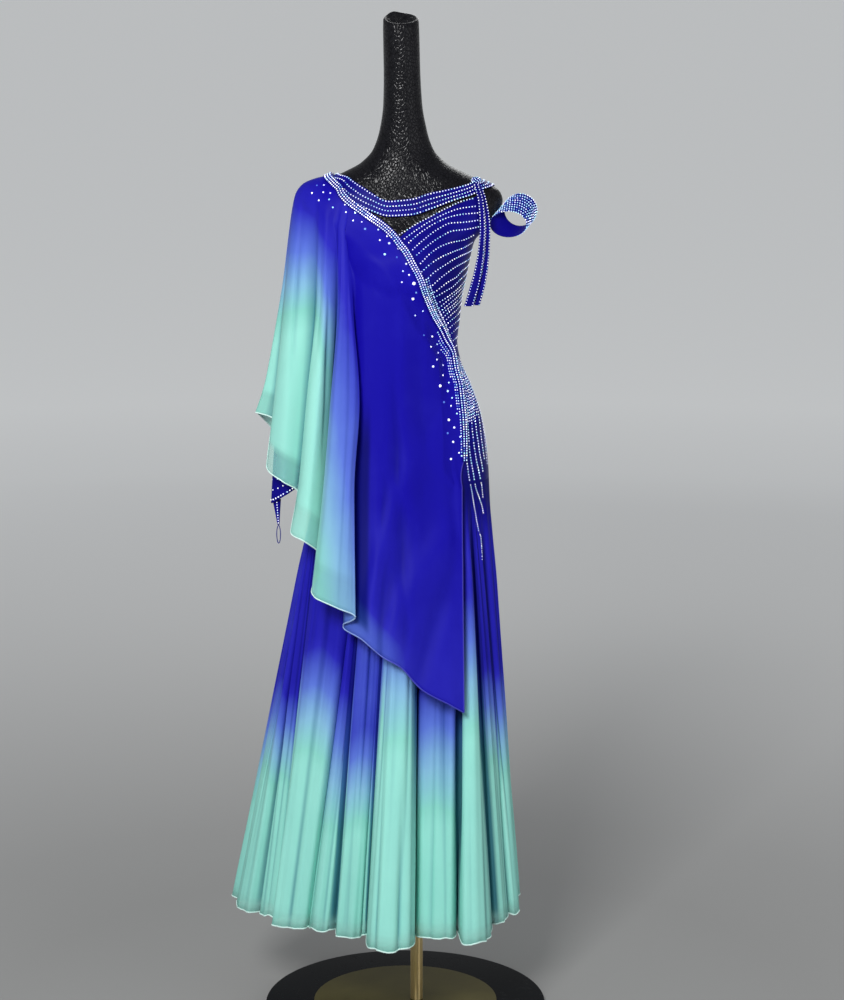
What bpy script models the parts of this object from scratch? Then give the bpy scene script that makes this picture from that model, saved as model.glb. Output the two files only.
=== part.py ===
# A ballroom dance dress on a limbless dress form with a pole and a round base.
# Metres, +Z up. The origin is the middle of the base's underside, and the dress faces -Y.
import math
from collections import namedtuple

import bpy
import numpy as np
from mathutils import Matrix

# Stand
BASE_RADIUS = 0.272
BASE_THICK = 0.012
INLAY_RADIUS = 0.178
INLAY_THICK = 0.002
POLE_X = 0.022  # the pole stands a little beside the base's middle
POLE_RADIUS = 0.012
GAP = 0.0003  # between pieces that touch or are sewn together

# Form. Its own axis is X = 0 in every table below; an empty carries it to FORM_PLACE.
FORM_PLACE = (-0.002, 0.0, 0.009)
FORM_BELOW_CLOTH = 0.0048  # the form is this much slimmer than the dress's inside
FORM_SIDES = 30
NECK_LEAN, NECK_RISE = -0.004, 0.008
NECK_TILT = 0.30  # slope of the neck's top face, which leans forward

# Cloth
CLOTH = 0.0016
LINED = 0.0020  # walls of the beaded bands
BODICE_OUT = 0.0002  # how far each layer's inside stands off the dress's body sections
BAND_OUT = 0.0003
CAPE_OUT = 0.0045
TRIM_OUT = 0.0075
CAPE_CLEAR = 0.0110  # the least distance of the hanging cape from the body sections
CAPE_FLAT = 0.0115  # the cape lies flat on the bodice this far from its sewn edge
CAPE_RISE = 0.035  # and comes clear over this much more
HIP_SEAM_Z = 1.045
HEM_Z = 0.196
SLEEVE_SIDES = 12

# Body sections of the dress: a superellipse at each height.
Section = namedtuple("Section", "z half_width front back power")
BODY = (
    Section(0.880, 0.1400, 0.0900, 0.1120, 2.2),
    Section(0.930, 0.1500, 0.0980, 0.1260, 2.2),
    Section(0.990, 0.1570, 0.1010, 0.1290, 2.2),
    Section(1.040, 0.1590, 0.1000, 0.1220, 2.2),
    Section(1.095, 0.1550, 0.0960, 0.1080, 2.2),
    Section(1.160, 0.1440, 0.0880, 0.0900, 2.2),
    Section(1.220, 0.1240, 0.0800, 0.0770, 2.2),
    Section(1.265, 0.1050, 0.0745, 0.0690, 2.2),
    Section(1.300, 0.0990, 0.0730, 0.0670, 2.2),
    Section(1.340, 0.1030, 0.0810, 0.0710, 2.2),
    Section(1.380, 0.1070, 0.0980, 0.0770, 2.2),
    Section(1.425, 0.1160, 0.1140, 0.0820, 2.2),
    Section(1.460, 0.1230, 0.1140, 0.0860, 2.2),
    Section(1.490, 0.1310, 0.1020, 0.0880, 2.2),
    Section(1.508, 0.1500, 0.0920, 0.0880, 2.2),
    Section(1.524, 0.1690, 0.0830, 0.0870, 2.2),
    Section(1.543, 0.1805, 0.0750, 0.0830, 2.3),
    Section(1.562, 0.1885, 0.0670, 0.0770, 2.3),
    Section(1.577, 0.1835, 0.0612, 0.0700, 2.3),
    Section(1.590, 0.1665, 0.0570, 0.0635, 2.2),
    Section(1.602, 0.1400, 0.0535, 0.0580, 2.2),
    Section(1.615, 0.1110, 0.0505, 0.0535, 2.1),
    Section(1.631, 0.0820, 0.0470, 0.0480, 2.0),
    Section(1.655, 0.0605, 0.0430, 0.0440, 2.0),
    Section(1.690, 0.0485, 0.0405, 0.0415, 2.0),
    Section(1.740, 0.0405, 0.0385, 0.0385, 2.0),
    Section(1.800, 0.0383, 0.0370, 0.0370, 2.0),
    Section(1.860, 0.0380, 0.0375, 0.0375, 2.0),
    Section(1.886, 0.0372, 0.0365, 0.0365, 2.0),
)

# Upper edge of the bodice: angle round the body from the front middle, towards +X, and height.
EdgePoint = namedtuple("EdgePoint", "angle z")
BODICE_FRONT_EDGE = (
    EdgePoint(-89.92, 1.4995), EdgePoint(-70, 1.516), EdgePoint(-62, 1.540), EdgePoint(-55, 1.562), EdgePoint(-45, 1.578),
    EdgePoint(-34, 1.570), EdgePoint(-27, 1.558), EdgePoint(-16, 1.537), EdgePoint(-8, 1.511),
    EdgePoint(-4, 1.501), EdgePoint(4, 1.521), EdgePoint(14, 1.540), EdgePoint(25, 1.557),
    EdgePoint(39, 1.5705), EdgePoint(46.5, 1.575), EdgePoint(49, 1.552), EdgePoint(65, 1.521),
    EdgePoint(80, 1.496), EdgePoint(89.92, 1.487),
)
BODICE_BACK_EDGE = (
    EdgePoint(90.08, 1.487), EdgePoint(100, 1.496), EdgePoint(115, 1.521), EdgePoint(131, 1.548),
    EdgePoint(140, 1.560), EdgePoint(160, 1.551), EdgePoint(180, 1.548), EdgePoint(200, 1.551),
    EdgePoint(220, 1.560), EdgePoint(229, 1.548), EdgePoint(237, 1.540), EdgePoint(245, 1.522), EdgePoint(260, 1.503),
    EdgePoint(269.92, 1.4995),
)

# Neck bands: angle, lower edge and upper edge.
BandPoint = namedtuple("BandPoint", "angle low high")
NECK_BAND_FRONT = (
    BandPoint(-89.85, 1.5960, 1.6120), BandPoint(-55, 1.5940, 1.6090), BandPoint(-28, 1.5680, 1.5950),
    BandPoint(-16, 1.5490, 1.5820), BandPoint(-6, 1.5395, 1.5680), BandPoint(3, 1.5415, 1.5715),
    BandPoint(13, 1.5520, 1.5815), BandPoint(25, 1.5660, 1.5870), BandPoint(40, 1.5765, 1.5930),
    BandPoint(60, 1.5870, 1.5990), BandPoint(89.85, 1.5910, 1.6040),
)
NECK_BAND_BACK = (
    BandPoint(90.15, 1.5910, 1.6040), BandPoint(115, 1.5820, 1.5990), BandPoint(140, 1.5640, 1.5910),
    BandPoint(160, 1.5550, 1.5840), BandPoint(180, 1.5520, 1.5810), BandPoint(200, 1.5550, 1.5840),
    BandPoint(220, 1.5660, 1.5920), BandPoint(245, 1.5880, 1.6040), BandPoint(269.85, 1.5960, 1.6120),
)

# The cape's sewn edge, from the middle of the back over the left shoulder and down
# the front diagonal to the right hip.
CAPE_EDGE = (
    EdgePoint(-192, 1.5720), EdgePoint(-180, 1.5700), EdgePoint(-163, 1.5740), EdgePoint(-143, 1.5830),
    EdgePoint(-124, 1.5940), EdgePoint(-108, 1.6010), EdgePoint(-90, 1.6040), EdgePoint(-60, 1.5980),
    EdgePoint(-39.6, 1.5862), EdgePoint(-28.6, 1.5654), EdgePoint(-17.5, 1.5395),
    EdgePoint(-7.9, 1.5120), EdgePoint(0.0, 1.4830), EdgePoint(10.0, 1.4438), EdgePoint(18.6, 1.4044),
    EdgePoint(28.7, 1.3647), EdgePoint(44.8, 1.3204), EdgePoint(58.3, 1.2811), EdgePoint(55.0, 1.2353),
    EdgePoint(48.7, 1.1810), EdgePoint(44.1, 1.1079), EdgePoint(43.2, 1.0858),
)
RIDGE_ROW, HIP_ROW = 6, 21  # rows of CAPE_EDGE: the shoulder's top and the hip corner
CHEST_Z, WAIST_Z, HIP_Z = 1.390, 1.210, 1.040

# The cape's fold lines, from the back edge round the left side to the front corner.
# edge is a place along CAPE_EDGE, in rows; steps is how many columns lead to the next line.
Fold = namedtuple("Fold", "steps edge shoulder chest waist hip hem")
CAPE = (
    Fold(3, 0.0, (0.050, 0.096, 1.520), (0.048, 0.108), (0.047, 0.122), (0.046, 0.150), (0.045, 0.196, 0.750)),
    Fold(3, 1.0, (0.000, 0.098, 1.520), (0.000, 0.110), (0.000, 0.124), (0.000, 0.150), (0.000, 0.196, 0.770)),
    Fold(3, 1.5, (-0.050, 0.096, 1.520), (-0.050, 0.108), (-0.050, 0.122), (-0.050, 0.148), (-0.050, 0.188, 0.800)),
    Fold(3, 2.0, (-0.086, 0.092, 1.525), (-0.088, 0.098), (-0.090, 0.110), (-0.094, 0.130), (-0.100, 0.148, 0.830)),
    Fold(3, 2.3, (-0.108, 0.090, 1.530), (-0.114, 0.108), (-0.122, 0.130), (-0.128, 0.148), (-0.132, 0.168, 0.870)),
    Fold(3, 2.6, (-0.130, 0.084, 1.535), (-0.138, 0.080), (-0.146, 0.078), (-0.150, 0.080), (-0.152, 0.088, 0.930)),
    Fold(3, 3.0, (-0.156, 0.078, 1.545), (-0.170, 0.086), (-0.186, 0.098), None, (-0.200, 0.112, 1.000)),
    Fold(2, 3.3, (-0.172, 0.064, 1.555), (-0.184, 0.052), (-0.198, 0.048), None, (-0.208, 0.050, 1.070)),
    Fold(3, 3.7, (-0.188, 0.042, 1.567), (-0.212, 0.050), (-0.240, 0.056), None, (-0.254, 0.060, 1.130)),
    Fold(3, 4.0, (-0.190, 0.020, 1.580), (-0.227, 0.022), (-0.262, 0.022), None, (-0.278, 0.022, 1.163)),
    Fold(2, 4.5, (-0.189, 0.006, 1.582), (-0.216, 0.004), (-0.231, 0.002), None, (-0.243, 0.000, 1.152)),
    Fold(2, 5.0, (-0.187, -0.010, 1.582), (-0.218, -0.034), (-0.238, -0.036), None, (-0.255, -0.038, 1.072)),
    Fold(3, 5.5, (-0.180, -0.026, 1.582), (-0.200, -0.058), (-0.212, -0.062), None, (-0.224, -0.066, 1.047)),
    Fold(2, 6.1, (-0.160, -0.050, 1.570), (-0.162, -0.056), (-0.176, -0.052), None, (-0.197, -0.054, 1.023)),
    Fold(2, 6.6, (-0.148, -0.056, 1.570), (-0.151, -0.082), (-0.173, -0.090), (-0.191, -0.094), (-0.208, -0.104, 0.960)),
    Fold(3, 7.1, (-0.136, -0.060, 1.570), (-0.142, -0.092), (-0.156, -0.104), (-0.172, -0.114), (-0.183, -0.124, 0.946)),
    Fold(2, 7.8, (-0.122, -0.062, 1.568), (-0.122, -0.084), (-0.130, -0.080), (-0.140, -0.088), (-0.149, -0.104, 0.907)),
    Fold(3, 8.1, (-0.116, -0.066, 1.560), (-0.118, -0.104), (-0.132, -0.120), (-0.147, -0.136), (-0.168, -0.160, 0.860)),
    Fold(3, 8.5, (-0.107, -0.069, 1.552), (-0.105, -0.112), (-0.107, -0.142), (-0.114, -0.163), (-0.125, -0.188, 0.837)),
    Fold(2, 8.9, None, (-0.093, -0.108), (-0.080, -0.134), (-0.086, -0.156), (-0.085, -0.188, 0.818)),
    Fold(2, 9.1, None, (-0.088, -0.102), (-0.094, -0.104), (-0.106, -0.116), (-0.111, -0.156, 0.792)),
    Fold(2, 9.55, None, (-0.071, -0.112), (-0.068, -0.118), (-0.073, -0.130), (-0.076, -0.176, 0.773)),
    Fold(3, 10.4, None, (-0.045, -0.118), (-0.044, -0.118), (-0.044, -0.130), (-0.043, -0.182, 0.745)),
    Fold(5, 11.8, None, (-0.006, -0.120), (-0.006, -0.116), (-0.006, -0.126), (-0.006, -0.186, 0.723)),
    Fold(6, 14.0, None, None, (0.038, -0.096), (0.038, -0.114), (0.038, -0.186, 0.677)),
    Fold(8, 17.0, None, None, (0.085, -0.072), (0.083, -0.100), (0.086, -0.184, 0.650)),
    Fold(0, 21.0, None, None, None, (0.108, -0.092), (0.112, -0.176, 0.633)),
)
SIDE_ROW = 9  # the row of CAPE on the side seam
CAPE_STEPS = (0.04, 0.08, 0.13, 0.19, 0.26, 0.34, 0.43, 0.53, 0.64, 0.76, 0.88, 1.0)

# The skirt's flutes at the hem: the valley that each starts from, how far its front
# stands out from the line between two valleys, the way it faces (0 is the front, 90 is +X),
# its columns, and its place on the hip seam.
Flute = namedtuple("Flute", "x y depth facing columns hip_angle")
SKIRT_FRONT = (
    Flute(-0.298, 0.036, 0.038, -67, 6, -98),
    Flute(-0.270, -0.030, 0.020, -43, 5, -84),
    Flute(-0.233, -0.064, 0.052, -26, 7, -68),
    Flute(-0.171, -0.094, 0.034, -30, 6, -24),
    Flute(-0.127, -0.128, 0.050, 0, 7, -20.5),
    Flute(-0.069, -0.128, 0.138, 0, 10, -6.2),
    Flute(0.020, -0.112, 0.062, 0, 8, 9.4),
    Flute(0.099, -0.134, 0.096, 2, 8, 40),
    Flute(0.167, -0.098, 0.016, 50, 5, 48.5),
    Flute(0.190, -0.048, 0.036, 70, 6, 56),
)
SKIRT_BACK_FLUTES = 9
SKIRT_BACK_DEPTH = 0.052
SKIRT_BACK_COLUMNS = 6
SKIRT_MIDDLE_X = -0.052
SKIRT_BACK_HALF_WIDTH = 0.232
SKIRT_BACK_REACH = 0.215
SKIRT_RIGHT_ANGLE, SKIRT_RIGHT_HIP = 97, 96
FLUTE_SQUARE = 0.42  # under 1 squares the flutes' fronts
SKIRT_STEPS = (0.0, 0.07, 0.20, 0.42, 0.70, 1.0)

# Sleeve sections below its head: middle, half sizes.
SleeveRing = namedtuple("SleeveRing", "x y z half_x half_y slant")
SLEEVE = (
    SleeveRing(-0.1660, -0.004, 1.460, 0.0230, 0.0340, 0.0),
    SleeveRing(-0.1720, -0.008, 1.390, 0.0230, 0.0270, 0.0),
    SleeveRing(-0.1860, -0.010, 1.290, 0.0230, 0.0180, 0.0),
    SleeveRing(-0.1990, -0.014, 1.210, 0.0225, 0.0140, 0.0),
    SleeveRing(-0.2150, -0.016, 1.110, 0.0240, 0.0110, 0.0),
    SleeveRing(-0.2225, -0.016, 1.020, 0.0245, 0.0095, 0.016),
)
SLEEVE_HEAD_Z, SLEEVE_HEAD_HALF, SLEEVE_HEAD_HALF_Y, SLEEVE_HEAD_OUT = 1.532, 0.036, 0.036, 0.0048

# Narrow pieces at the right shoulder and the sleeve's point: the middle line and the half width.
Strip = namedtuple("Strip", "x y z half")
TAIL_FRONT = (
    Strip(0.1325, -0.0410, 1.5978, 0.0036), Strip(0.1420, -0.0590, 1.5640, 0.0046),
    Strip(0.1450, -0.0610, 1.5180, 0.0046), Strip(0.1432, -0.0610, 1.4810, 0.0055),
    Strip(0.1366, -0.0610, 1.4350, 0.0072), Strip(0.1300, -0.0610, 1.4070, 0.0082),
    Strip(0.1200, -0.0610, 1.3740, 0.0082),
)
TAIL_BACK = (
    Strip(0.1395, -0.0378, 1.5962, 0.0032), Strip(0.1500, -0.0520, 1.5590, 0.0040),
    Strip(0.1546, -0.0540, 1.5180, 0.0046), Strip(0.1536, -0.0540, 1.4810, 0.0048),
    Strip(0.1500, -0.0540, 1.4440, 0.0055), Strip(0.1427, -0.0540, 1.4070, 0.0064),
    Strip(0.1343, -0.0540, 1.3750, 0.0064),
)
FINGER_POINT = (
    Strip(-0.2390, -0.0165, 1.0036, 0.0072), Strip(-0.2375, -0.0165, 0.9880, 0.0042),
    Strip(-0.2368, -0.0165, 0.9720, 0.0018),
)
KNOT_MIDDLE, KNOT_SIZE = (0.1335, -0.0360, 1.6030), (0.0090, 0.0065, 0.0060)
LOOP_LENGTH, LOOP_WIDTH, LOOP_THREAD = 0.034, 0.007, 0.0008

# Arm band: a soft open tube that rests on the form's right shoulder; its near end leans down.
BandRing = namedtuple("BandRing", "x y z half_x half_z")
ARM_BAND_FAR = BandRing(0.2160, -0.0055, 1.5455, 0.0293, 0.0290)
ARM_BAND_NEAR = BandRing(0.1930, -0.0300, 1.5220, 0.0327, 0.0232)
ARM_BAND_ROWS, ARM_BAND_SIDES = 4, 28

PAINT = {
    "black_enamel": ((0.012, 0.014, 0.016), 0.35, 0.0),
    "brass": ((0.55, 0.42, 0.17), 0.28, 1.0),
    "black_leatherette": ((0.014, 0.013, 0.013), 0.45, 0.0),
    "royal_blue": ((0.020, 0.010, 0.330), 0.70, 0.0),
    "beaded_blue": ((0.120, 0.220, 0.560), 0.35, 0.0),
    "dyed_chiffon": ((0.240, 0.560, 0.560), 0.75, 0.0),
}


def clear_scene():
    for thing in list(bpy.data.objects):
        bpy.data.objects.remove(thing, do_unlink=True)
    made = bpy.data.collections.new("ballroom_dress_on_form")
    bpy.context.scene.collection.children.link(made)
    axis = bpy.data.objects.new("form_axis", None)
    axis.location = FORM_PLACE
    made.objects.link(axis)
    return made, axis


def paint(name, finish):
    colour, roughness, metallic = PAINT[finish]
    material = bpy.data.materials.new(name + "_finish")
    material.use_nodes = True
    shader = material.node_tree.nodes["Principled BSDF"]
    shader.inputs["Base Color"].default_value = (*colour, 1.0)
    shader.inputs["Roughness"].default_value = roughness
    shader.inputs["Metallic"].default_value = metallic
    return material


def place(obj, name, finish, parent=None):
    for old in list(obj.users_collection):
        old.objects.unlink(obj)
    collection.objects.link(obj)
    obj.name = name
    obj.data.name = name
    obj.data.materials.clear()
    obj.data.materials.append(paint(name, finish))
    obj.parent = parent
    if obj.type == "MESH":
        obj.data.shade_smooth()
        obj.data.set_sharp_from_angle(angle=math.radians(50))
    return obj


def smooth(values, at):
    """Monotone cubic through rows of values at 0, 1, 2 ..., read at the places in at."""
    values = np.asarray(values, float)
    at = np.asarray(at, float)
    rise = np.diff(values, axis=0)
    before, after = rise[:-1], rise[1:]
    agree = before * after > 0
    total = np.where(agree, before + after, 1.0)
    slope = np.concatenate([rise[:1], np.where(agree, 2 * before * after / total, 0.0), rise[-1:]])
    row = np.clip(np.floor(at).astype(int), 0, len(values) - 2)
    t = (at - row).reshape(at.shape + (1,) * (values.ndim - 1))
    return (
        (2 * t**3 - 3 * t**2 + 1) * values[row]
        + (t**3 - 2 * t**2 + t) * slope[row]
        + (3 * t**2 - 2 * t**3) * values[row + 1]
        + (t**3 - t**2) * slope[row + 1]
    )


def row_of(keys, at):
    """Places in rows, for smooth(), of the values at in a rising list of keys."""
    return np.interp(at, keys, np.arange(len(keys)))


SECTION_Z = np.array([s.z for s in BODY])
SECTION_SIZES = np.array([s[1:] for s in BODY])


def body_sizes(z):
    """Half width, front, back and power at each height, by a monotone cubic in z."""
    z = np.clip(z, SECTION_Z[0], SECTION_Z[-1])
    gap = np.diff(SECTION_Z)
    rise = np.diff(SECTION_SIZES, axis=0) / gap[:, None]
    before, after = rise[:-1], rise[1:]
    agree = before * after > 0
    total = np.where(agree, before + after, 1.0)
    slope = np.concatenate([rise[:1], np.where(agree, 2 * before * after / total, 0.0), rise[-1:]])
    row = np.clip(np.searchsorted(SECTION_Z, z) - 1, 0, len(BODY) - 2)
    step = gap[row][..., None]
    t = ((z - SECTION_Z[row]) / gap[row])[..., None]
    sizes = (
        (2 * t**3 - 3 * t**2 + 1) * SECTION_SIZES[row]
        + (t**3 - 2 * t**2 + t) * slope[row] * step
        + (3 * t**2 - 2 * t**3) * SECTION_SIZES[row + 1]
        + (t**3 - t**2) * slope[row + 1] * step
    )
    return np.moveaxis(sizes, -1, 0)


def on_body(angle, z):
    """Points of the body sections at angles in degrees from the front middle."""
    angle, z = np.broadcast_arrays(np.radians(angle), np.asarray(z, float))
    wide, front, back, power = body_sizes(z)
    side, ahead = np.sin(angle), np.cos(angle)
    x = wide * np.sign(side) * np.abs(side) ** (2 / power)
    y = -np.where(ahead > 0, front, back) * np.sign(ahead) * np.abs(ahead) ** (2 / power)
    return np.stack([x, y, z], axis=-1)


def off_body(angle, z, out):
    """The same points moved out along the body's own normal."""
    angle, z = np.broadcast_arrays(np.asarray(angle, float), np.asarray(z, float))
    turn = on_body(angle + 0.5, z) - on_body(angle - 0.5, z)
    climb = on_body(angle, z + 0.002) - on_body(angle, z - 0.002)
    normal = np.cross(turn, climb)
    normal /= np.linalg.norm(normal, axis=-1, keepdims=True)
    return on_body(angle, z) + normal * np.asarray(out)[..., None]


def body_angle(points):
    """The angle round the body, in degrees, at which its sections face each point."""
    x, y, z = np.moveaxis(points, -1, 0)
    wide, front, back, power = body_sizes(z)
    side = np.sign(x) * (np.abs(x) / wide) ** (power / 2)
    ahead = -np.sign(y) * (np.abs(y) / np.where(y < 0, front, back)) ** (power / 2)
    return np.degrees(np.arctan2(side, ahead))


def clear_of_body(points, clear):
    """Points inside the body sections, grown by clear, pushed straight out to them."""
    x, y, z = np.moveaxis(points, -1, 0)
    wide, front, back, power = body_sizes(z)
    deep = np.where(y < 0, front, back)
    inside = ((np.abs(x) / (wide + clear)) ** power + (np.abs(y) / (deep + clear)) ** power) ** (1 / power)
    push = np.where((inside < 1) & (z > SECTION_Z[0]), 1 / np.maximum(inside, 0.2), 1.0)
    return np.stack([x * push, y * push, z], axis=-1)


def grid_object(name, grid, finish, round_closed=False, capped=False, thick=None, parent=None):
    """A mesh of quads: rows run down, columns run from the left over the front to the right,
    so its faces look outwards. thick gives it a wall on the outer side."""
    rows, columns = grid.shape[:2]
    index = np.arange(rows * columns).reshape(rows, columns)
    if round_closed:
        index = np.concatenate([index, index[:, :1]], axis=1)
    quads = np.stack([index[:-1, :-1], index[1:, :-1], index[1:, 1:], index[:-1, 1:]], axis=-1)
    faces = quads.reshape(-1, 4).tolist()
    if capped:
        faces += [index[0, :columns].tolist(), index[-1, :columns][::-1].tolist()]
    mesh = bpy.data.meshes.new(name)
    mesh.from_pydata(grid.reshape(-1, 3).tolist(), [], faces)
    obj = place(bpy.data.objects.new(name, mesh), name, finish, parent)
    if thick:
        wall = obj.modifiers.new("wall", "SOLIDIFY")
        wall.thickness = thick
        wall.offset = 1.0
    return obj


def make_base():
    bpy.ops.mesh.primitive_cylinder_add(vertices=64, radius=BASE_RADIUS, depth=BASE_THICK)
    plate = place(bpy.context.active_object, "base_plate", "black_enamel")
    plate.location = (0, 0, BASE_THICK / 2)
    rim = plate.modifiers.new("rim", "BEVEL")
    rim.width = 0.002
    rim.segments = 1
    bpy.ops.mesh.primitive_cylinder_add(vertices=64, radius=INLAY_RADIUS, depth=INLAY_THICK)
    inlay = place(bpy.context.active_object, "base_inlay", "brass")
    inlay.location = (0, 0, BASE_THICK + GAP + INLAY_THICK / 2)


def make_pole():
    """A plain round post from the inlay to the form's underside."""
    bottom = BASE_THICK + GAP + INLAY_THICK + GAP
    top = BODY[0].z + FORM_PLACE[2] - GAP
    bpy.ops.mesh.primitive_cylinder_add(vertices=24, radius=POLE_RADIUS, depth=top - bottom)
    pole = place(bpy.context.active_object, "pole", "brass")
    pole.location = (POLE_X, 0, (top + bottom) / 2)


def make_form():
    """The torso and long neck, closed at the hips and at the slanting top of the neck."""
    angles = np.arange(FORM_SIDES) * 360 / FORM_SIDES
    z = np.concatenate([
        np.linspace(BODY[-1].z, 1.70, 6), np.linspace(1.665, 1.36, 17), np.linspace(1.325, BODY[0].z, 11)
    ])
    grid = off_body(angles[None, :], z[:, None], -FORM_BELOW_CLOTH)
    grid[..., 2] = np.clip(z, BODY[0].z, None)[:, None]
    lean = np.clip((z - 1.700) / (BODY[-1].z - 1.700), 0, 1)[:, None]
    grid[..., 2] += lean**2 * (NECK_TILT * grid[..., 1] + NECK_RISE)
    grid[..., 0] += lean * NECK_LEAN
    grid_object("form_torso", grid, "black_leatherette", round_closed=True, capped=True, parent=form_axis)


def panel_grid(edge, columns, rows, out):
    """A fitted panel from the edge table down to the hip seam."""
    angles = np.array([p.angle for p in edge])
    heights = np.array([p.z for p in edge])
    wanted = np.unique(np.concatenate([np.linspace(angles[0], angles[-1], columns), angles[1:-1]]))
    top = smooth(heights, row_of(angles, wanted))
    down = np.linspace(0, 1, rows)[:, None] ** 1.25
    z = top[None, :] * (1 - down) + (HIP_SEAM_Z + 1.5 * GAP) * down
    return off_body(wanted[None, :], z, out)


def make_bodice():
    for name, edge in (("bodice_front", BODICE_FRONT_EDGE), ("bodice_back", BODICE_BACK_EDGE)):
        grid = panel_grid(edge, 11, 16, BODICE_OUT)
        grid_object(name, grid, "royal_blue", thick=CLOTH, parent=form_axis)


def make_neck_bands():
    for name, table in (("neck_band_front", NECK_BAND_FRONT), ("neck_band_back", NECK_BAND_BACK)):
        at = np.linspace(0, len(table) - 1, 3 * len(table) - 2)
        angle, low, high = smooth(np.array(table), at).T
        across = np.linspace(0, 1, 3)[:, None]
        grid = off_body(angle[None, :], high * (1 - across) + low * across, BAND_OUT)
        grid_object(name, grid, "beaded_blue", thick=CLOTH, parent=form_axis)


def cape_edge(at, out):
    angle, z = smooth(np.array(CAPE_EDGE), at).T
    return off_body(angle, z, out)


def fold_line(fold, steps):
    """The points of one fold, from the sewn edge to the hem, at shares of its smooth curve."""
    edge = cape_edge(np.array([fold.edge]), CAPE_OUT)[0]
    stops = [edge]
    if fold.shoulder:
        stops.append(fold.shoulder)
    for level, z in ((fold.chest, CHEST_Z), (fold.waist, WAIST_Z), (fold.hip, HIP_Z)):
        if level:
            stops.append((*level, z))
    stops.append(fold.hem)
    stops = np.array(stops)
    fine = smooth(stops, np.linspace(0, len(stops) - 1, 200))
    length = np.concatenate([[0], np.cumsum(np.linalg.norm(np.diff(fine, axis=0), axis=1))])
    wanted = np.concatenate([[0, CAPE_FLAT], np.asarray(steps) * length[-1]])
    return np.stack([np.interp(wanted, length, fine[:, k]) for k in range(3)], axis=-1)


def cape_grid(first, last, steps):
    """The cape between two of its fold lines: smooth across the folds, clear of the body."""
    lines = np.stack([fold_line(fold, steps) for fold in CAPE])
    places = [first]
    for k in range(first, last):
        places += [k + (j + 1) / CAPE[k].steps for j in range(CAPE[k].steps)]
    places = np.array(places)
    grid = np.moveaxis(smooth(lines, places), 0, 1)
    edges = smooth(np.array([fold.edge for fold in CAPE]), places)
    grid[0] = cape_edge(edges, CAPE_OUT)
    sewn = cape_edge(np.linspace(0, HIP_ROW, 300), CAPE_OUT)
    away = np.linalg.norm(grid[..., None, :] - sewn, axis=-1).min(axis=-1)
    share = np.clip((away - CAPE_FLAT) / CAPE_RISE, 0, 1)
    laid = off_body(body_angle(grid), grid[..., 2], CAPE_OUT)
    free = clear_of_body(grid, CAPE_OUT + (CAPE_CLEAR - CAPE_OUT) * share)
    return laid + (free - laid) * share[..., None]


def pull_in(grid, column, inner, gap):
    """Opens a seam's gap: the end column moves a little towards its neighbour."""
    step = grid[:, inner] - grid[:, column]
    grid[:, column] += step * (gap / np.linalg.norm(step, axis=1, keepdims=True))


def make_cape():
    front = cape_grid(SIDE_ROW, len(CAPE) - 1, CAPE_STEPS)
    back = cape_grid(0, SIDE_ROW, CAPE_STEPS)
    pull_in(back, -1, -2, GAP)
    grid_object("cape_front", front, "dyed_chiffon", thick=CLOTH, parent=form_axis)
    grid_object("cape_back", back, "dyed_chiffon", thick=CLOTH, parent=form_axis)


def make_trim():
    """The beaded band over the cape's diagonal edge, narrower towards the hip."""
    at = np.linspace(RIDGE_ROW + 0.05, HIP_ROW, 46)
    middle = cape_edge(at, TRIM_OUT)
    angle, z = smooth(np.array(CAPE_EDGE), at).T
    normal = off_body(angle, z, 1.0) - on_body(angle, z)
    along = np.gradient(middle, axis=0)
    across = np.cross(normal, along)
    across /= np.linalg.norm(across, axis=1, keepdims=True)
    half = np.interp(at, (RIDGE_ROW, 12, 17, HIP_ROW), (0.0080, 0.0075, 0.0060, 0.0040))
    grid = np.stack([middle + across * half[:, None] * side for side in (1, 0, -1)])
    grid_object("cape_trim", grid, "beaded_blue", thick=LINED, parent=form_axis)


def skirt_flutes():
    """All the flutes round the hem; those behind lie evenly on an ellipse."""
    flutes = list(SKIRT_FRONT)
    count = SKIRT_BACK_FLUTES
    last_angle = 360 - 98
    for k in range(count):
        share = k / count
        turn = math.radians(SKIRT_RIGHT_ANGLE + share * (last_angle - SKIRT_RIGHT_ANGLE))
        hip = SKIRT_RIGHT_HIP + share * (last_angle - SKIRT_RIGHT_HIP)
        x = SKIRT_MIDDLE_X + SKIRT_BACK_HALF_WIDTH * math.sin(turn)
        y = -SKIRT_BACK_REACH * math.cos(turn)
        facing = math.degrees(turn) + 0.5 * (last_angle - SKIRT_RIGHT_ANGLE) / count
        flutes.append(Flute(x, y, SKIRT_BACK_DEPTH, facing, SKIRT_BACK_COLUMNS, hip))
    return flutes


def hem_columns(flutes):
    """Plan points of the hem and their angles on the hip seam, flute by flute."""
    hem, hips, middles = [], [], []
    for k, flute in enumerate(flutes):
        following = flutes[(k + 1) % len(flutes)]
        start, end = np.array(flute[:2]), np.array(following[:2])
        turn = (following.hip_angle - flute.hip_angle) % 360
        facing = math.radians(flute.facing)
        outward = np.array([math.sin(facing), -math.cos(facing)])
        share = np.arange(flute.columns) / flute.columns
        swing = np.pi * share
        along = (0.5 - 0.5 * np.cos(swing))[:, None]
        bulge = (np.sin(swing) ** FLUTE_SQUARE)[:, None]
        middles.append(len(hem) + flute.columns // 2)
        hem.extend(start + (end - start) * along + outward * flute.depth * bulge)
        hips.extend(flute.hip_angle + turn * share)
    return np.array(hem), np.array(hips), middles


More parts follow.
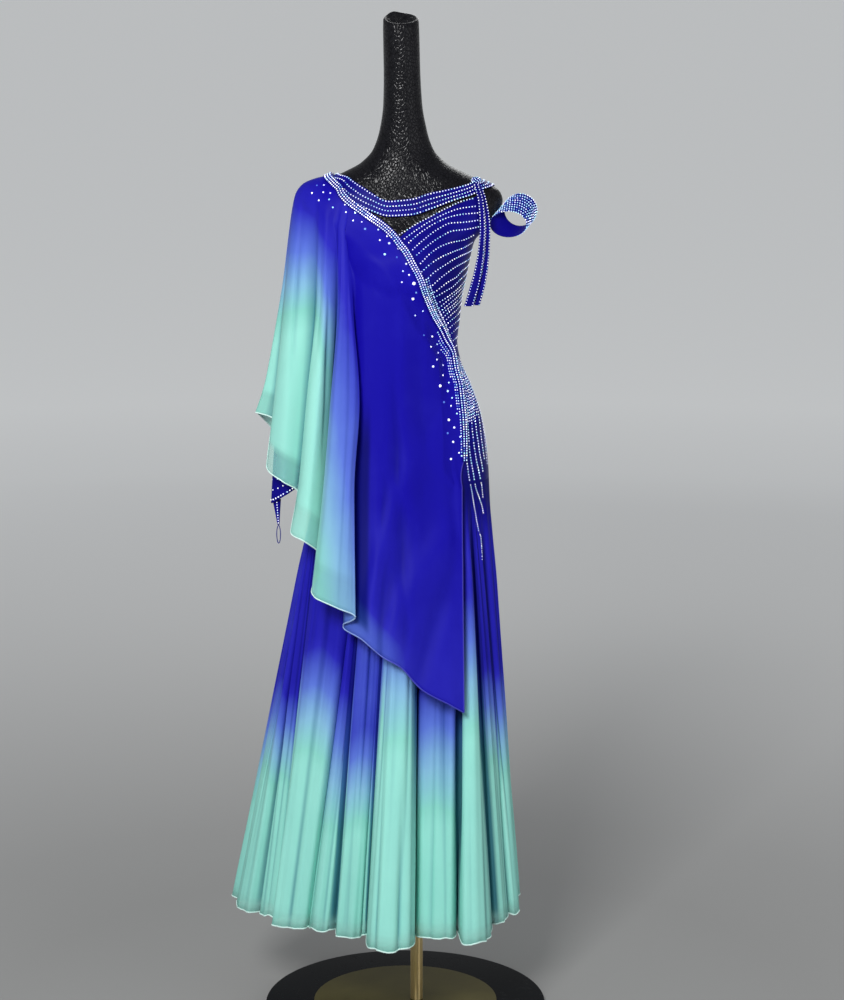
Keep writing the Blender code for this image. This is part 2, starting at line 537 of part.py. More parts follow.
def make_skirt():
    """Straight lines from the hip seam to the fluted hem, in a front and a back piece."""
    hem, hips, middles = hem_columns(skirt_flutes())
    top = off_body(hips, HIP_SEAM_Z, BODICE_OUT)
    bottom = np.column_stack([hem, np.full(len(hem), HEM_Z)])
    fall = np.array(SKIRT_STEPS)[:, None, None]
    grid = top * (1 - fall) + bottom * fall
    left, right = middles[0], middles[len(SKIRT_FRONT) - 1]
    count = len(hem)
    front = grid[:, np.arange(left, right + 1)].copy()
    back = grid[:, np.arange(right, count + left + 1) % count].copy()
    for piece in (front, back):
        pull_in(piece, 0, 1, GAP / 2)
        pull_in(piece, -1, -2, GAP / 2)
    grid_object("skirt_front", front, "dyed_chiffon", thick=CLOTH, parent=form_axis)
    grid_object("skirt_back", back, "dyed_chiffon", thick=CLOTH, parent=form_axis)


def sleeve_grid(sides):
    """The sleeve's head lies round the form's left shoulder; below it hangs flat and empty."""
    turn = np.arange(sides) * 2 * np.pi / sides
    z = SLEEVE_HEAD_Z + SLEEVE_HEAD_HALF * np.cos(turn)
    y = SLEEVE_HEAD_HALF_Y * np.sin(turn)
    wide, front, back, power = body_sizes(z)
    deep = np.where(y < 0, front, back)
    x = -wide * (1 - (np.abs(y) / deep) ** power) ** (1 / power)
    head = off_body(body_angle(np.stack([x, y, z], axis=-1)), z, SLEEVE_HEAD_OUT)
    rings = [head]
    for ring in SLEEVE:
        rings.append(np.stack([
            ring.x - ring.half_x * np.cos(turn),
            ring.y + ring.half_y * np.sin(turn),
            ring.z - ring.slant * np.cos(turn),
        ], axis=-1))
    rings = np.stack(rings)
    return smooth(rings, np.linspace(0, len(rings) - 1, 2 * len(rings) - 1))


def make_sleeve():
    grid = sleeve_grid(SLEEVE_SIDES)[:, ::-1]
    grid_object("left_sleeve", grid, "royal_blue", round_closed=True, thick=CLOTH, parent=form_axis)
    strip_object("finger_point", FINGER_POINT, "beaded_blue", 5)
    x, y, z = FINGER_POINT[-1][:3]
    turn = np.arange(14) * 2 * np.pi / 14
    ring = np.stack([
        x + LOOP_WIDTH / 2 * np.sin(turn),
        np.full(14, y),
        z - 2 * GAP - LOOP_THREAD - LOOP_LENGTH * (0.5 - 0.5 * np.cos(turn)),
    ], axis=-1)
    thread = bpy.data.curves.new("finger_loop", "CURVE")
    thread.dimensions = "3D"
    thread.bevel_depth = LOOP_THREAD
    thread.bevel_resolution = 1
    spline = thread.splines.new("POLY")
    spline.points.add(len(ring) - 1)
    spline.points.foreach_set("co", np.column_stack([ring, np.ones(len(ring))]).ravel())
    spline.use_cyclic_u = True
    place(bpy.data.objects.new("finger_loop", thread), "finger_loop", "royal_blue", form_axis)


def strip_object(name, table, finish, rows):
    """A narrow hanging ribbon, creased a little along its middle."""
    x, y, z, half = smooth(np.array(table), np.linspace(0, len(table) - 1, rows)).T
    grid = np.stack([
        np.stack([x + half * side, y + 0.25 * half * abs(side), z], axis=-1) for side in (-1, 0, 1)
    ], axis=1)
    grid_object(name, grid, finish, thick=CLOTH, parent=form_axis)


def make_shoulder_pieces():
    bpy.ops.mesh.primitive_uv_sphere_add(segments=14, ring_count=9)
    knot = bpy.context.active_object
    knot.data.transform(Matrix.Diagonal((*KNOT_SIZE, 1.0)))
    place(knot, "shoulder_knot", "beaded_blue", form_axis)
    knot.location = KNOT_MIDDLE
    strip_object("tail_front", TAIL_FRONT, "beaded_blue", 16)
    strip_object("tail_back", TAIL_BACK, "beaded_blue", 16)


def make_arm_band():
    turn = np.arange(ARM_BAND_SIDES) * 2 * np.pi / ARM_BAND_SIDES
    near = np.linspace(0, 1, ARM_BAND_ROWS)[:, None]
    x, y, z, half_x, half_z = (a + (b - a) * near for a, b in zip(ARM_BAND_FAR, ARM_BAND_NEAR))
    grid = np.stack([x - half_x * np.cos(turn), y + 0 * turn, z + half_z * np.sin(turn)], axis=-1)
    grid_object("arm_band", grid, "beaded_blue", round_closed=True, thick=LINED, parent=form_axis)


collection, form_axis = clear_scene()
make_base()
make_pole()
make_form()
make_bodice()
make_neck_bands()
make_skirt()
make_cape()
make_trim()
make_sleeve()
make_shoulder_pieces()
make_arm_band()
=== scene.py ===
# A ballroom dance dress on its form: the finish and the fine shape of every piece.
# Metres, +Z up, the dress faces -Y. The tables stand on the form's own axis, and formPlace moves them.
import math

import bpy
import numpy as np
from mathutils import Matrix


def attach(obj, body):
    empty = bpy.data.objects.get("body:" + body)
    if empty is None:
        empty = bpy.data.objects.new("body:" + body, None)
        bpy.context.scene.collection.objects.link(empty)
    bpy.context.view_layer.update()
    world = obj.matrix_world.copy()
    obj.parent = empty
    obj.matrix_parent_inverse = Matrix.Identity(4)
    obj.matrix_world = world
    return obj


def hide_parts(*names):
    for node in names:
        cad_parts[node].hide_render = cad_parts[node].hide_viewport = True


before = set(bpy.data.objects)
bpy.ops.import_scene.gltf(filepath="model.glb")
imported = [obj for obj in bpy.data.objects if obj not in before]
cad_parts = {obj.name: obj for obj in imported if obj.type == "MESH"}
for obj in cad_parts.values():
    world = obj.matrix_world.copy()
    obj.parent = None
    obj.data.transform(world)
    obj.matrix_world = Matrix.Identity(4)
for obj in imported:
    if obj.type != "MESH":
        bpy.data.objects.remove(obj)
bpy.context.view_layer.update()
dice = np.random.default_rng(7)
formPlace = np.array([-0.002, 0.0, 0.009])
tiny = 1e-12


# finishes


class Wire:
    # a material's socket that takes + - * /, so that shader maths reads as a sum
    def __init__(self, finish, socket):
        self.finish = finish
        self.socket = socket

    def math(self, operation, first, second):
        # one Math node
        return self.finish.node("ShaderNodeMath", {"operation": operation}, {0: first, 1: second})

    def __add__(self, other):
        return self.math("ADD", self, other)

    def __sub__(self, other):
        return self.math("SUBTRACT", self, other)

    def __rsub__(self, other):
        return self.math("SUBTRACT", other, self)

    def __mul__(self, other):
        return self.math("MULTIPLY", self, other)

    def __truediv__(self, other):
        return self.math("DIVIDE", self, other)

    __radd__ = __add__
    __rmul__ = __mul__


class Finish:
    # a node material; node() adds any node, shade() fills the Principled shader
    def __init__(self, name):
        self.material = bpy.data.materials.new(name)
        self.material.use_nodes = True
        self.tree = self.material.node_tree
        self.shader = self.tree.nodes["Principled BSDF"]

    def join(self, socket, value):
        # a wire is linked to the socket, a plain value is set on it
        if isinstance(value, Wire):
            self.tree.links.new(value.socket, socket)
        else:
            socket.default_value = value

    def node(self, kind, settings=None, inputs=None, output=0):
        made = self.tree.nodes.new(kind)
        for key, value in (settings or {}).items():
            if key == "stops":
                ramp = made.color_ramp
                for _ in range(len(value) - 2):
                    ramp.elements.new(0.5)
                for element, (place, colour) in zip(ramp.elements, value):
                    element.position = place
                    element.color = (*colour, 1.0)
            else:
                setattr(made, key, value)
        for key, value in (inputs or {}).items():
            self.join(made.inputs[key], value)
        return Wire(self, made.outputs[output])

    def mark(self, name):
        # a value kept on each point of the mesh
        return self.node("ShaderNodeAttribute", {"attribute_name": name}, output="Fac")

    def spot(self):
        return self.node("ShaderNodeTexCoord", output="Object")

    def place(self, stretch):
        # the object's own coordinates, scaled along each axis
        return self.node("ShaderNodeMapping", inputs={"Vector": self.spot(), "Scale": stretch})

    def length(self, vector):
        return self.node("ShaderNodeVectorMath", {"operation": "LENGTH"}, {0: vector}, "Value")

    def noise(self, scale, detail=2.0, stretch=(1, 1, 1)):
        return self.node("ShaderNodeTexNoise",
                         inputs={"Vector": self.place(stretch), "Scale": scale, "Detail": detail})

    def cells(self, scale, feature, stretch):
        return self.node("ShaderNodeTexVoronoi", {"feature": feature},
                         {"Vector": self.place(stretch), "Scale": scale})

    def ramp(self, value, *stops):
        return self.node("ShaderNodeValToRGB", {"stops": stops}, {"Fac": value})

    def blend(self, share, first, second, way="MIX"):
        # Mix on colours: its sockets 6 and 7 are the colours and output 2 the result
        return self.node("ShaderNodeMix", {"data_type": "RGBA", "blend_type": way},
                         {0: share, 6: first, 7: second}, 2)

    def bump(self, height, strength, distance):
        return self.node("ShaderNodeBump",
                         inputs={"Height": height, "Strength": strength, "Distance": distance})

    def shade(self, **sockets):
        for key, value in sockets.items():
            self.join(self.shader.inputs[key.replace("_", " ")], value)
        return self.material


chiffonDye = {
    "deep": (0.006, 0.0025, 0.33), "royal": (0.022, 0.02, 0.45), "periwinkle": (0.105, 0.18, 0.66),
    "sky": (0.24, 0.5, 0.7), "mint": (0.265, 0.68, 0.585), "paleMint": (0.37, 0.83, 0.72),
    # the valley tint below is painted shade for the folds' valleys
    "paintedValleyShade": (0.17, 0.3, 0.42), "streakShade": (0.86, 0.88, 0.92), "roughness": 0.52, "thinning": 0.4,
    # the noises' scales, and how far two of them move the dye
    "edge": 16.0, "streaks": 26.0, "weave": 1500.0, "crepe": 380.0, "edgeShift": 0.07, "streakShift": 0.05,
}
white = (1.0, 1.0, 1.0)


def makeChiffon():
    # dip dye: the mark "dye" runs from 0, blue, to 1, mint, and soft noise breaks its edge;
    # the mark "sheer" thins the cloth towards a single layer at the hems
    look = Finish("dippedChiffon")
    dye = look.mark("dye") + (look.noise(chiffonDye["edge"], 3.0) - 0.5) * chiffonDye["edgeShift"]
    streak = look.noise(chiffonDye["streaks"], 3.0, (1.0, 1.0, 0.07))
    colour = look.ramp(
        dye + (streak - 0.5) * chiffonDye["streakShift"],
        (0.0, chiffonDye["deep"]), (0.16, chiffonDye["royal"]), (0.4, chiffonDye["periwinkle"]),
        (0.62, chiffonDye["sky"]), (0.82, chiffonDye["mint"]), (1.0, chiffonDye["paleMint"]))
    shadeTint = look.ramp(streak, (0.25, chiffonDye["streakShade"]), (0.75, white))
    colour = look.blend(0.5, colour, shadeTint, "MULTIPLY")
    # painted shade: the mark 'valley' darkens the colour in the folds' valleys
    valleyShadeTint = look.ramp(look.mark("valley"), (0.0, white), (1.0, chiffonDye["paintedValleyShade"]))
    colour = look.blend(1.0, colour, valleyShadeTint, "MULTIPLY")
    ribs = look.noise(chiffonDye["crepe"], stretch=(1, 1, 0.25))
    crepe = look.noise(chiffonDye["weave"]) * 0.6 + ribs * 0.4
    return look.shade(
        Base_Color=colour, Roughness=(streak - 0.5) * 0.14 + chiffonDye["roughness"],
        Alpha=1.0 - look.mark("sheer") * chiffonDye["thinning"], Normal=look.bump(crepe, 0.22, 0.0005),
        Specular_IOR_Level=0.08)


def makeHemFinish():
    # rolled hem: the dye's own colour, paler, with a fine twist
    look = Finish("rolledHem")
    colour = look.ramp(look.mark("dye"), (0.0, (0.02, 0.012, 0.34)), (0.25, (0.06, 0.07, 0.5)),
                       (0.5, (0.35, 0.52, 0.8)), (0.8, (0.62, 0.88, 0.84)), (1.0, (0.68, 0.92, 0.86)))
    twist = look.noise(900.0, 1.0)
    return look.shade(Base_Color=colour, Roughness=twist * 0.2 + 0.4, Normal=look.bump(twist, 0.3, 0.0004),
                      Sheen_Weight=0.1, Specular_IOR_Level=0.3)


satinCloth = {"deep": (0.0025, 0.0018, 0.13), "light": (0.007, 0.0045, 0.28), "knit": 1100.0,
              "roughness": 0.28}


def makeSatin():
    # stretch satin: fine ribs down the cloth, and a slow change of depth over it
    look = Finish("stretchSatin")
    depth = look.noise(7.0, 3.0)
    knit = look.noise(satinCloth["knit"], stretch=(1, 1, 0.4))
    colour = look.ramp(depth, (0.3, satinCloth["deep"]), (0.7, satinCloth["light"]))
    return look.shade(Base_Color=colour, Roughness=knit * 0.16 + satinCloth["roughness"],
                      Normal=look.bump(knit, 0.25, 0.0004), Specular_IOR_Level=0.06)


stoneGlass = {"clear": (0.86, 0.9, 1.0), "lilac": (0.6, 0.62, 1.0), "aqua": (0.45, 0.82, 0.95),
              "deep": (0.06, 0.13, 0.5), "paintedGlow": 0.85}


def makeStoneFinish():
    # foiled crystal: a mirror-like facet over a pale tint that differs from stone to stone; each stone also
    # glows in its tint, a painted sparkle
    look = Finish("foiledCrystal")
    tint = look.ramp(look.mark("tint"), (0.05, stoneGlass["deep"]), (0.3, stoneGlass["aqua"]),
                     (0.55, stoneGlass["lilac"]), (0.8, stoneGlass["clear"]), (1.0, white))
    haze = look.noise(700.0, 1.0)
    return look.shade(Base_Color=tint, Roughness=haze * 0.12 + 0.06, Metallic=0.2, Coat_Weight=1.0,
                      Coat_Roughness=0.04, Emission_Color=tint, Emission_Strength=stoneGlass["paintedGlow"])


coverScales = {"scale": 185.0, "stretch": (1.0, 1.0, 0.8), "seam": (0.002, 0.002, 0.003),
               "scaleTop": (0.008, 0.008, 0.01)}


def makeLeatherette():
    # small irregular scales with sunk edges, each scale slightly crowned
    look = Finish("scaledLeatherette")
    scales, seams = [look.cells(coverScales["scale"], feature, coverScales["stretch"])
                     for feature in ("F1", "DISTANCE_TO_EDGE")]
    grain = look.noise(900.0)
    colour = look.ramp(seams, (0.0, coverScales["seam"]), (0.14, coverScales["scaleTop"]))
    height = look.ramp(seams, (0.0, (0, 0, 0)), (0.2, white)) - scales * 0.5 + grain * 0.06
    return look.shade(Base_Color=colour, Roughness=grain * 0.08 + 0.17,
                      Normal=look.bump(height, 0.55, 0.0006), Specular_IOR_Level=0.14)


def makeEnamel():
    # black gloss enamel with a faint ripple and a little dust
    look = Finish("blackEnamel")
    dust = look.ramp(look.noise(60.0, 5.0), (0.55, (0.0, 0.0, 0.0)), (0.8, white))
    colour = look.blend(dust * 0.12, (0.004, 0.005, 0.006, 1), (0.04, 0.04, 0.039, 1))
    return look.shade(Base_Color=colour, Roughness=dust * 0.25 + 0.2,
                      Normal=look.bump(look.noise(55.0), 0.08, 0.0008), Specular_IOR_Level=0.02)


def makeInlayFinish():
    # dark bronze, turned: rings about the middle, found from the distance to it
    look = Finish("turnedBronze")
    flat = look.node("ShaderNodeVectorMath", {"operation": "MULTIPLY"}, {0: look.spot(), 1: (1, 1, 0)})
    rings = look.node("ShaderNodeTexNoise", {"noise_dimensions": "1D"},
                      {"W": look.length(flat), "Scale": 900.0, "Detail": 3.0})
    patina = look.noise(14.0, 5.0)
    colour = look.ramp(patina, (0.3, (0.072, 0.062, 0.018)), (0.7, (0.1, 0.086, 0.028)))
    return look.shade(Base_Color=colour, Metallic=0.3, Roughness=rings * 0.12 + patina * 0.08 + 0.34,
                      Normal=look.bump(rings, 0.12, 0.0002), Specular_IOR_Level=0.03)


def makePoleFinish():
    # polished warm metal, brushed round: its light runs up and down the pole
    look = Finish("polishedPole")
    lines = look.noise(240.0, 3.0, (1, 1, 0.01))
    smudge = look.noise(18.0, 4.0)
    colour = look.ramp(smudge, (0.3, (0.86, 0.64, 0.28)), (0.7, (1.0, 0.8, 0.42)))
    return look.shade(Base_Color=colour, Metallic=1.0, Roughness=lines * 0.1 + smudge * 0.06 + 0.32,
                      Normal=look.bump(lines, 0.06, 0.0002), Anisotropic=0.9, Anisotropic_Rotation=0.25)


chiffon, hemFinish, satin = makeChiffon(), makeHemFinish(), makeSatin()
stoneFinish, leatherette = makeStoneFinish(), makeLeatherette()
enamel, inlayFinish, poleFinish = makeEnamel(), makeInlayFinish(), makePoleFinish()
print("finishes made")


# curves and meshes


def softSlopes(rise):
    # a slope at each row: the harmonic mean of the rises beside it, and nothing where they disagree
    before, after = rise[:-1], rise[1:]
    agree = before * after > 0
    slope = np.where(agree, 2 * before * after / np.where(agree, before + after, 1.0), 0.0)
    return np.concatenate([rise[:1], slope, rise[-1:]])


def cubic(t, first, firstSlope, second, secondSlope):
    # the cubic that leaves first with its slope at t = 0 and meets second with its own at t = 1
    return ((2 * t**3 - 3 * t**2 + 1) * first + (t**3 - 2 * t**2 + t) * firstSlope
            + (3 * t**2 - 2 * t**3) * second + (t**3 - t**2) * secondSlope)


def smoothRows(values, at):
    # a cubic through rows of values at 0, 1, 2 ... that never overshoots them
    values, at = np.asarray(values, float), np.asarray(at, float)
    slope = softSlopes(np.diff(values, axis=0))
    row = np.clip(np.floor(at).astype(int), 0, len(values) - 2)
    t = (at - row).reshape(at.shape + (1,) * (values.ndim - 1))
    return cubic(t, values[row], slope[row], values[row + 1], slope[row + 1])


def smoothStep(value, low, high):
    # 0 below low, 1 above high, and an S between
    t = np.clip((value - low) / (high - low), 0, 1)
    return t * t * (3 - 2 * t)


def hump(places, middle, width, power=2):
    # 1 at the middle, falling off on both sides; a higher power makes its top flat
    return np.exp(-((places - middle) / width) ** power)


def unit(vectors):
    # vectors over their own length
    return vectors / np.maximum(np.linalg.norm(vectors, axis=-1, keepdims=True), tiny)


def normalsOf(grid, closed=False):
    # the cross product of the steps along the rows and along the columns
    if closed:
        across = np.roll(grid, -1, axis=1) - np.roll(grid, 1, axis=1)
    else:
        across = np.gradient(grid, axis=1)
    return unit(np.cross(np.gradient(grid, axis=0), across))


def valleyDepth(grid, reach, closed=False):
    # how far each point lies behind the middle of its neighbours on either side, over their distance
    wide = np.pad(grid, [(0, 0), (reach, reach), (0, 0)], mode="wrap" if closed else "edge")
    before, after = wide[:, :-2 * reach], wide[:, 2 * reach:]
    gap = np.linalg.norm(after - before, axis=2)
    behind = np.einsum("ijk,ijk->ij", 0.5 * (before + after) - grid, normalsOf(grid, closed))
    return behind / np.maximum(gap, 0.004)


def stepLengths(grid, axis):
    # running length along one axis of a grid, from 0
    steps = np.linalg.norm(np.diff(grid, axis=axis), axis=-1)
    zero = np.zeros_like(np.take(steps, [0], axis=axis))
    return np.concatenate([zero, np.cumsum(steps, axis=axis)], axis=axis)


def turnsOf(sides):
    # that many even turns of a circle, in radians
    return np.arange(sides) * 2 * np.pi / sides


def putPiece(name, points, faces, finish, marks=None, uvs=None, smooth=True):
    # one piece at the origin: its points in world metres, its faces and its named point values
    mesh = bpy.data.meshes.new(name)
    mesh.from_pydata((points.reshape(-1, 3) + formPlace).tolist(), [], faces)
    for key, value in (marks or {}).items():
        kept = mesh.attributes.new(key, "FLOAT", "POINT").data
        kept.foreach_set("value", value.astype(np.float32).ravel())
    if uvs is not None:
        corners = np.empty(len(mesh.loops), np.int32)
        mesh.loops.foreach_get("vertex_index", corners)
        mesh.uv_layers.new(name="cloth").data.foreach_set("uv", uvs[corners].astype(np.float32).ravel())
    mesh.polygons.foreach_set("use_smooth", np.full(len(mesh.polygons), smooth))
    mesh.materials.append(finish)
    obj = bpy.data.objects.new(name, mesh)
    bpy.context.scene.collection.objects.link(obj)
    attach(obj, "root")
    return obj


def gridFaces(rows, columns, closed=False):
    # quads of a grid; its last column joins its first where it is closed
    index = np.arange(rows * columns).reshape(rows, columns)
    if closed:
        index = np.concatenate([index, index[:, :1]], axis=1)
    return np.stack([index[:-1, :-1], index[1:, :-1], index[1:, 1:], index[:-1, 1:]], axis=-1).reshape(-1, 4)


def tubeFaces(rows, columns):
    # a closed grid's quads, and a face over each of its two ends
    last = (rows - 1) * columns
    ends = [list(range(columns)), list(range(last, last + columns))[::-1]]
    return gridFaces(rows, columns, True).tolist() + ends


def putCloth(name, grid, finish, thickness, node, marks=None, closed=False):
    # a thin sheet on a grid of points, with a wall that grows outwards; UVs are metres of cloth
    uvs = np.stack([stepLengths(grid, 1), -stepLengths(grid, 0)], axis=-1).reshape(-1, 2)
    obj = putPiece(name, grid, gridFaces(*grid.shape[:2], closed).tolist(), finish, marks, uvs)
    wall = obj.modifiers.new("wall", "SOLIDIFY")
    wall.thickness = thickness
    wall.offset = 1.0
    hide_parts(node)
    return obj


def acrossFrom(along, flip=1):
    # two axes at right angles to each direction, from an upright helper or a level one
    steep = np.abs(along[:, 2:3]) > 0.8
    helper = np.where(steep, np.array([[1.0, 0.0, 0.0]]), np.array([[0.0, 0.0, 1.0]]))
    side = unit(flip * np.cross(along, helper))
    return side, flip * np.cross(side, along)


def putTube(name, path, radius, sides, finish, marks=None, closed=False):
    # a round cord: a ring of points about each place of the path, capped where it ends
    if closed:
        along = np.roll(path, -1, axis=0) - np.roll(path, 1, axis=0)
    else:
        along = np.gradient(path, axis=0)
    side, up = acrossFrom(unit(along))
    turn = -turnsOf(sides)[:, None]
    rings = path[:, None] + radius * (side[:, None] * np.cos(turn) + up[:, None] * np.sin(turn))
    if closed:
        faces = (gridFaces(len(path) + 1, sides, True) % (len(path) * sides)).tolist()
    else:
        faces = tubeFaces(len(path), sides)
    spread = {key: np.repeat(value, sides) for key, value in (marks or {}).items()}
    return putPiece(name, rings, faces, finish, spread, None)


def putTurned(name, profile, sides, finish, node, x=0.0):
    # a profile of (radius, height) pairs, from the top's middle down the outside to the underside's,
    # turned about an upright axis; its two ends are closed
    radius, height = np.array(profile).T[..., None]
    turn = turnsOf(sides)
    grid = np.stack([radius * np.sin(turn) + x, -radius * np.cos(turn), height + 0 * turn], axis=-1)
    obj = putPiece(name, grid - formPlace, tubeFaces(len(profile), sides), finish)
    obj.data.set_sharp_from_angle(angle=math.radians(40))
    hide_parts(node)


def roundedRim(radius, bottom, top, soft, steps=6):
    # the profile of a disc whose upper and lower edges are quarter rounds
    turn = np.linspace(0, np.pi / 2, steps)
    upper = np.stack([radius - soft + soft * np.sin(turn), top - soft + soft * np.cos(turn)], axis=1)
    lower = np.stack([radius - soft + soft * np.cos(turn), bottom + soft - soft * np.sin(turn)], axis=1)
    return np.concatenate([[[radius * 0.02, top]], upper, lower, [[radius * 0.02, bottom]]])


# stand

stand = {"baseRadius": 0.272, "baseTop": 0.012, "baseSoft": 0.0022,
         "inlayRadius": 0.178, "inlayTop": 0.0143, "inlaySoft": 0.0007,
         "poleX": 0.022, "poleRadius": 0.012, "poleTop": 0.8887, "poleSoft": 0.0012,
         "gap": 0.0003, "sides": 160}


def makeStand():
    # base, inlay and pole, one on the other with a small gap between
    base = roundedRim(stand["baseRadius"], 0.0, stand["baseTop"], stand["baseSoft"])
    putTurned("enamelBase", base, stand["sides"], enamel, "base_plate")
    inlay = roundedRim(stand["inlayRadius"], stand["baseTop"] + stand["gap"], stand["inlayTop"],
                       stand["inlaySoft"])
    putTurned("bronzeInlay", inlay, stand["sides"], inlayFinish, "base_inlay")
    pole = roundedRim(stand["poleRadius"], stand["inlayTop"] + stand["gap"], stand["poleTop"],
                      stand["poleSoft"])
    putTurned("metalPole", pole, 48, poleFinish, "pole", stand["poleX"])


makeStand()
print("stand made")


# the body that the cloth is cut for

# a superellipse at each height; power 2 is an ellipse and more squares it
bodyShape = {
    "z": (0.88, 0.93, 0.99, 1.04, 1.095, 1.16, 1.22, 1.265, 1.3, 1.34, 1.38, 1.425, 1.46, 1.49, 1.508,
          1.524, 1.543, 1.562, 1.577, 1.59, 1.602, 1.615, 1.631, 1.655, 1.69, 1.74, 1.8, 1.86, 1.886),
    "halfWidth": (0.14, 0.15, 0.157, 0.159, 0.155, 0.144, 0.124, 0.105, 0.099, 0.103, 0.107, 0.116, 0.123,
                  0.131, 0.15, 0.169, 0.1805, 0.1885, 0.1835, 0.1665, 0.14, 0.111, 0.082, 0.0605, 0.0485,
                  0.0405, 0.0383, 0.038, 0.0372),
    "front": (0.09, 0.098, 0.101, 0.1, 0.096, 0.088, 0.08, 0.0745, 0.073, 0.081, 0.098, 0.114, 0.114, 0.102,
              0.092, 0.083, 0.075, 0.067, 0.0612, 0.057, 0.0535, 0.0505, 0.047, 0.043, 0.0405, 0.0385,
              0.037, 0.0375, 0.0365),
    "back": (0.112, 0.126, 0.129, 0.122, 0.108, 0.09, 0.077, 0.069, 0.067, 0.071, 0.077, 0.082, 0.086,
             0.088, 0.088, 0.087, 0.083, 0.077, 0.07, 0.0635, 0.058, 0.0535, 0.048, 0.044, 0.0415, 0.0385,
             0.037, 0.0375, 0.0365),
    "power": (2.2,) * 16 + (2.3,) * 3 + (2.2,) * 2 + (2.1,) + (2.0,) * 7,
}
bodyZ = np.array(bodyShape["z"])
bodyTable = np.array([bodyShape[key] for key in ("halfWidth", "front", "back", "power")]).T


def bodySizes(z):
    # half width, front, back and power at each height: a cubic whose slopes never overshoot
    z = np.clip(z, bodyZ[0], bodyZ[-1])
    gap = np.diff(bodyZ)
    slope = softSlopes(np.diff(bodyTable, axis=0) / gap[:, None])
    row = np.clip(np.searchsorted(bodyZ, z) - 1, 0, len(bodyZ) - 2)
    step = gap[row][..., None]
    t = ((z - bodyZ[row]) / gap[row])[..., None]
    sizes = cubic(t, bodyTable[row], slope[row] * step, bodyTable[row + 1], slope[row + 1] * step)
    return np.moveaxis(sizes, -1, 0)


def onBody(angle, z):
    # points of the sections; the angle runs from the front's middle towards +X, in degrees
    angle, z = np.broadcast_arrays(np.radians(angle), np.asarray(z, float))
    wide, front, back, power = bodySizes(z)
    side, ahead = np.sin(angle), np.cos(angle)
    x = wide * np.sign(side) * np.abs(side) ** (2 / power)
    y = -np.where(ahead > 0, front, back) * np.sign(ahead) * np.abs(ahead) ** (2 / power)
    return np.stack([x, y, z], axis=-1)


def bodyNormal(angle, z):
    # outward normal: the step round the body crossed with the step up it
    angle, z = np.broadcast_arrays(np.asarray(angle, float), np.asarray(z, float))
    aside = onBody(angle + 0.5, z) - onBody(angle - 0.5, z)
    return unit(np.cross(aside, onBody(angle, z + 0.002) - onBody(angle, z - 0.002)))


def offBody(angle, z, out):
    # points that stand off the sections by out, along their normals
    angle, z = np.broadcast_arrays(np.asarray(angle, float), np.asarray(z, float))
    return onBody(angle, z) + bodyNormal(angle, z) * np.asarray(out)[..., None]


def bodyAngle(points):
    # the angle at which the sections face each point
    x, y, z = np.moveaxis(points, -1, 0)
    wide, front, back, power = bodySizes(z)
    side = np.sign(x) * (np.abs(x) / wide) ** (power / 2)
    ahead = -np.sign(y) * (np.abs(y) / np.where(y < 0, front, back)) ** (power / 2)
    return np.degrees(np.arctan2(side, ahead))


def clearOfBody(points, clear):
    # points inside the sections, grown by clear, pushed straight out to them
    x, y, z = np.moveaxis(points, -1, 0)
    wide, front, back, power = bodySizes(z)
    deep = np.where(y < 0, front, back)
    inside = ((np.abs(x) / (wide + clear)) ** power + (np.abs(y) / (deep + clear)) ** power) ** (1 / power)
    push = np.where((inside < 1) & (z > bodyZ[0]), 1 / np.maximum(inside, 0.2), 1.0)
    return np.stack([x * push, y * push, z], axis=-1)


# dress form

formShape = {"below": 0.0048, "sides": 120, "rows": 190, "neckZ": 1.7, "lean": -0.004, "rise": 0.008,
             "tilt": 0.3, "capSoft": 0.004, "capRings": 6,
             # folded in over the top: the lid's rings as shares of the rim, the depth of its dish and of
             # its folds, the folds' turns, swirl and share, and the raised corner's angle, width, height
             "lid": (0.9, 0.04, 14), "dish": 0.009, "pleats": 0.0016, "waves": ((7, 9, 1.0), (3, -7, 0.6)),
             "corner": (-150, 26, 0.0042)}


def makeForm():
    # the sections, pulled in; the neck leans a little and its top slants; the ends are rounded over
    angles = np.arange(formShape["sides"]) * 360 / formShape["sides"]
    z = np.linspace(bodyZ[-1], bodyZ[0], formShape["rows"])
    grid = offBody(angles[None, :], z[:, None], -formShape["below"])
    grid[..., 2] = z[:, None]
    lean = np.clip((z - formShape["neckZ"]) / (bodyZ[-1] - formShape["neckZ"]), 0, 1)[:, None]
    grid[..., 2] += lean**2 * (formShape["tilt"] * grid[..., 1] + formShape["rise"])
    grid[..., 0] += lean * formShape["lean"]
    soft = formShape["capSoft"]
    turn = np.linspace(0, np.pi / 2, formShape["capRings"])
    caps = []
    for ring, way in ((grid[0], 1.0), (grid[-1], -1.0)):
        middle = ring.mean(axis=0)
        reach = np.linalg.norm(ring - middle, axis=1).mean()
        cap = middle + (ring - middle) * (1 - soft / reach * (1 - np.cos(turn)))[:, None, None]
        cap[..., 2] += way * soft * (np.sin(turn)[:, None] - 1)
        caps.append(cap)
    top, bottom = caps
    place, width, high = formShape["corner"]
    top[..., 2] += high * hump((angles - place + 180) % 360, 180, width)
    share = np.linspace(*formShape["lid"])[:, None]
    middle = top[-1].mean(axis=0)
    lid = middle + (top[-1] - middle) * share[..., None]
    swirl = sum(part * np.sin(np.radians(angles) * turns + twist * share)
                for turns, twist, part in formShape["waves"])
    lid[..., 2] += formShape["pleats"] * swirl * np.sin(np.pi * share) - formShape["dish"] * (1 - share**2)
    inner = grid[(z < bodyZ[-1] - soft) & (z > bodyZ[0] + soft)]
    grid = np.concatenate([lid[::-1], top[::-1], inner, bottom])
    obj = putPiece("formTorso", grid, tubeFaces(len(grid), len(angles)), leatherette)
    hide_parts("form_torso")


makeForm()
print("form made")


# bodice

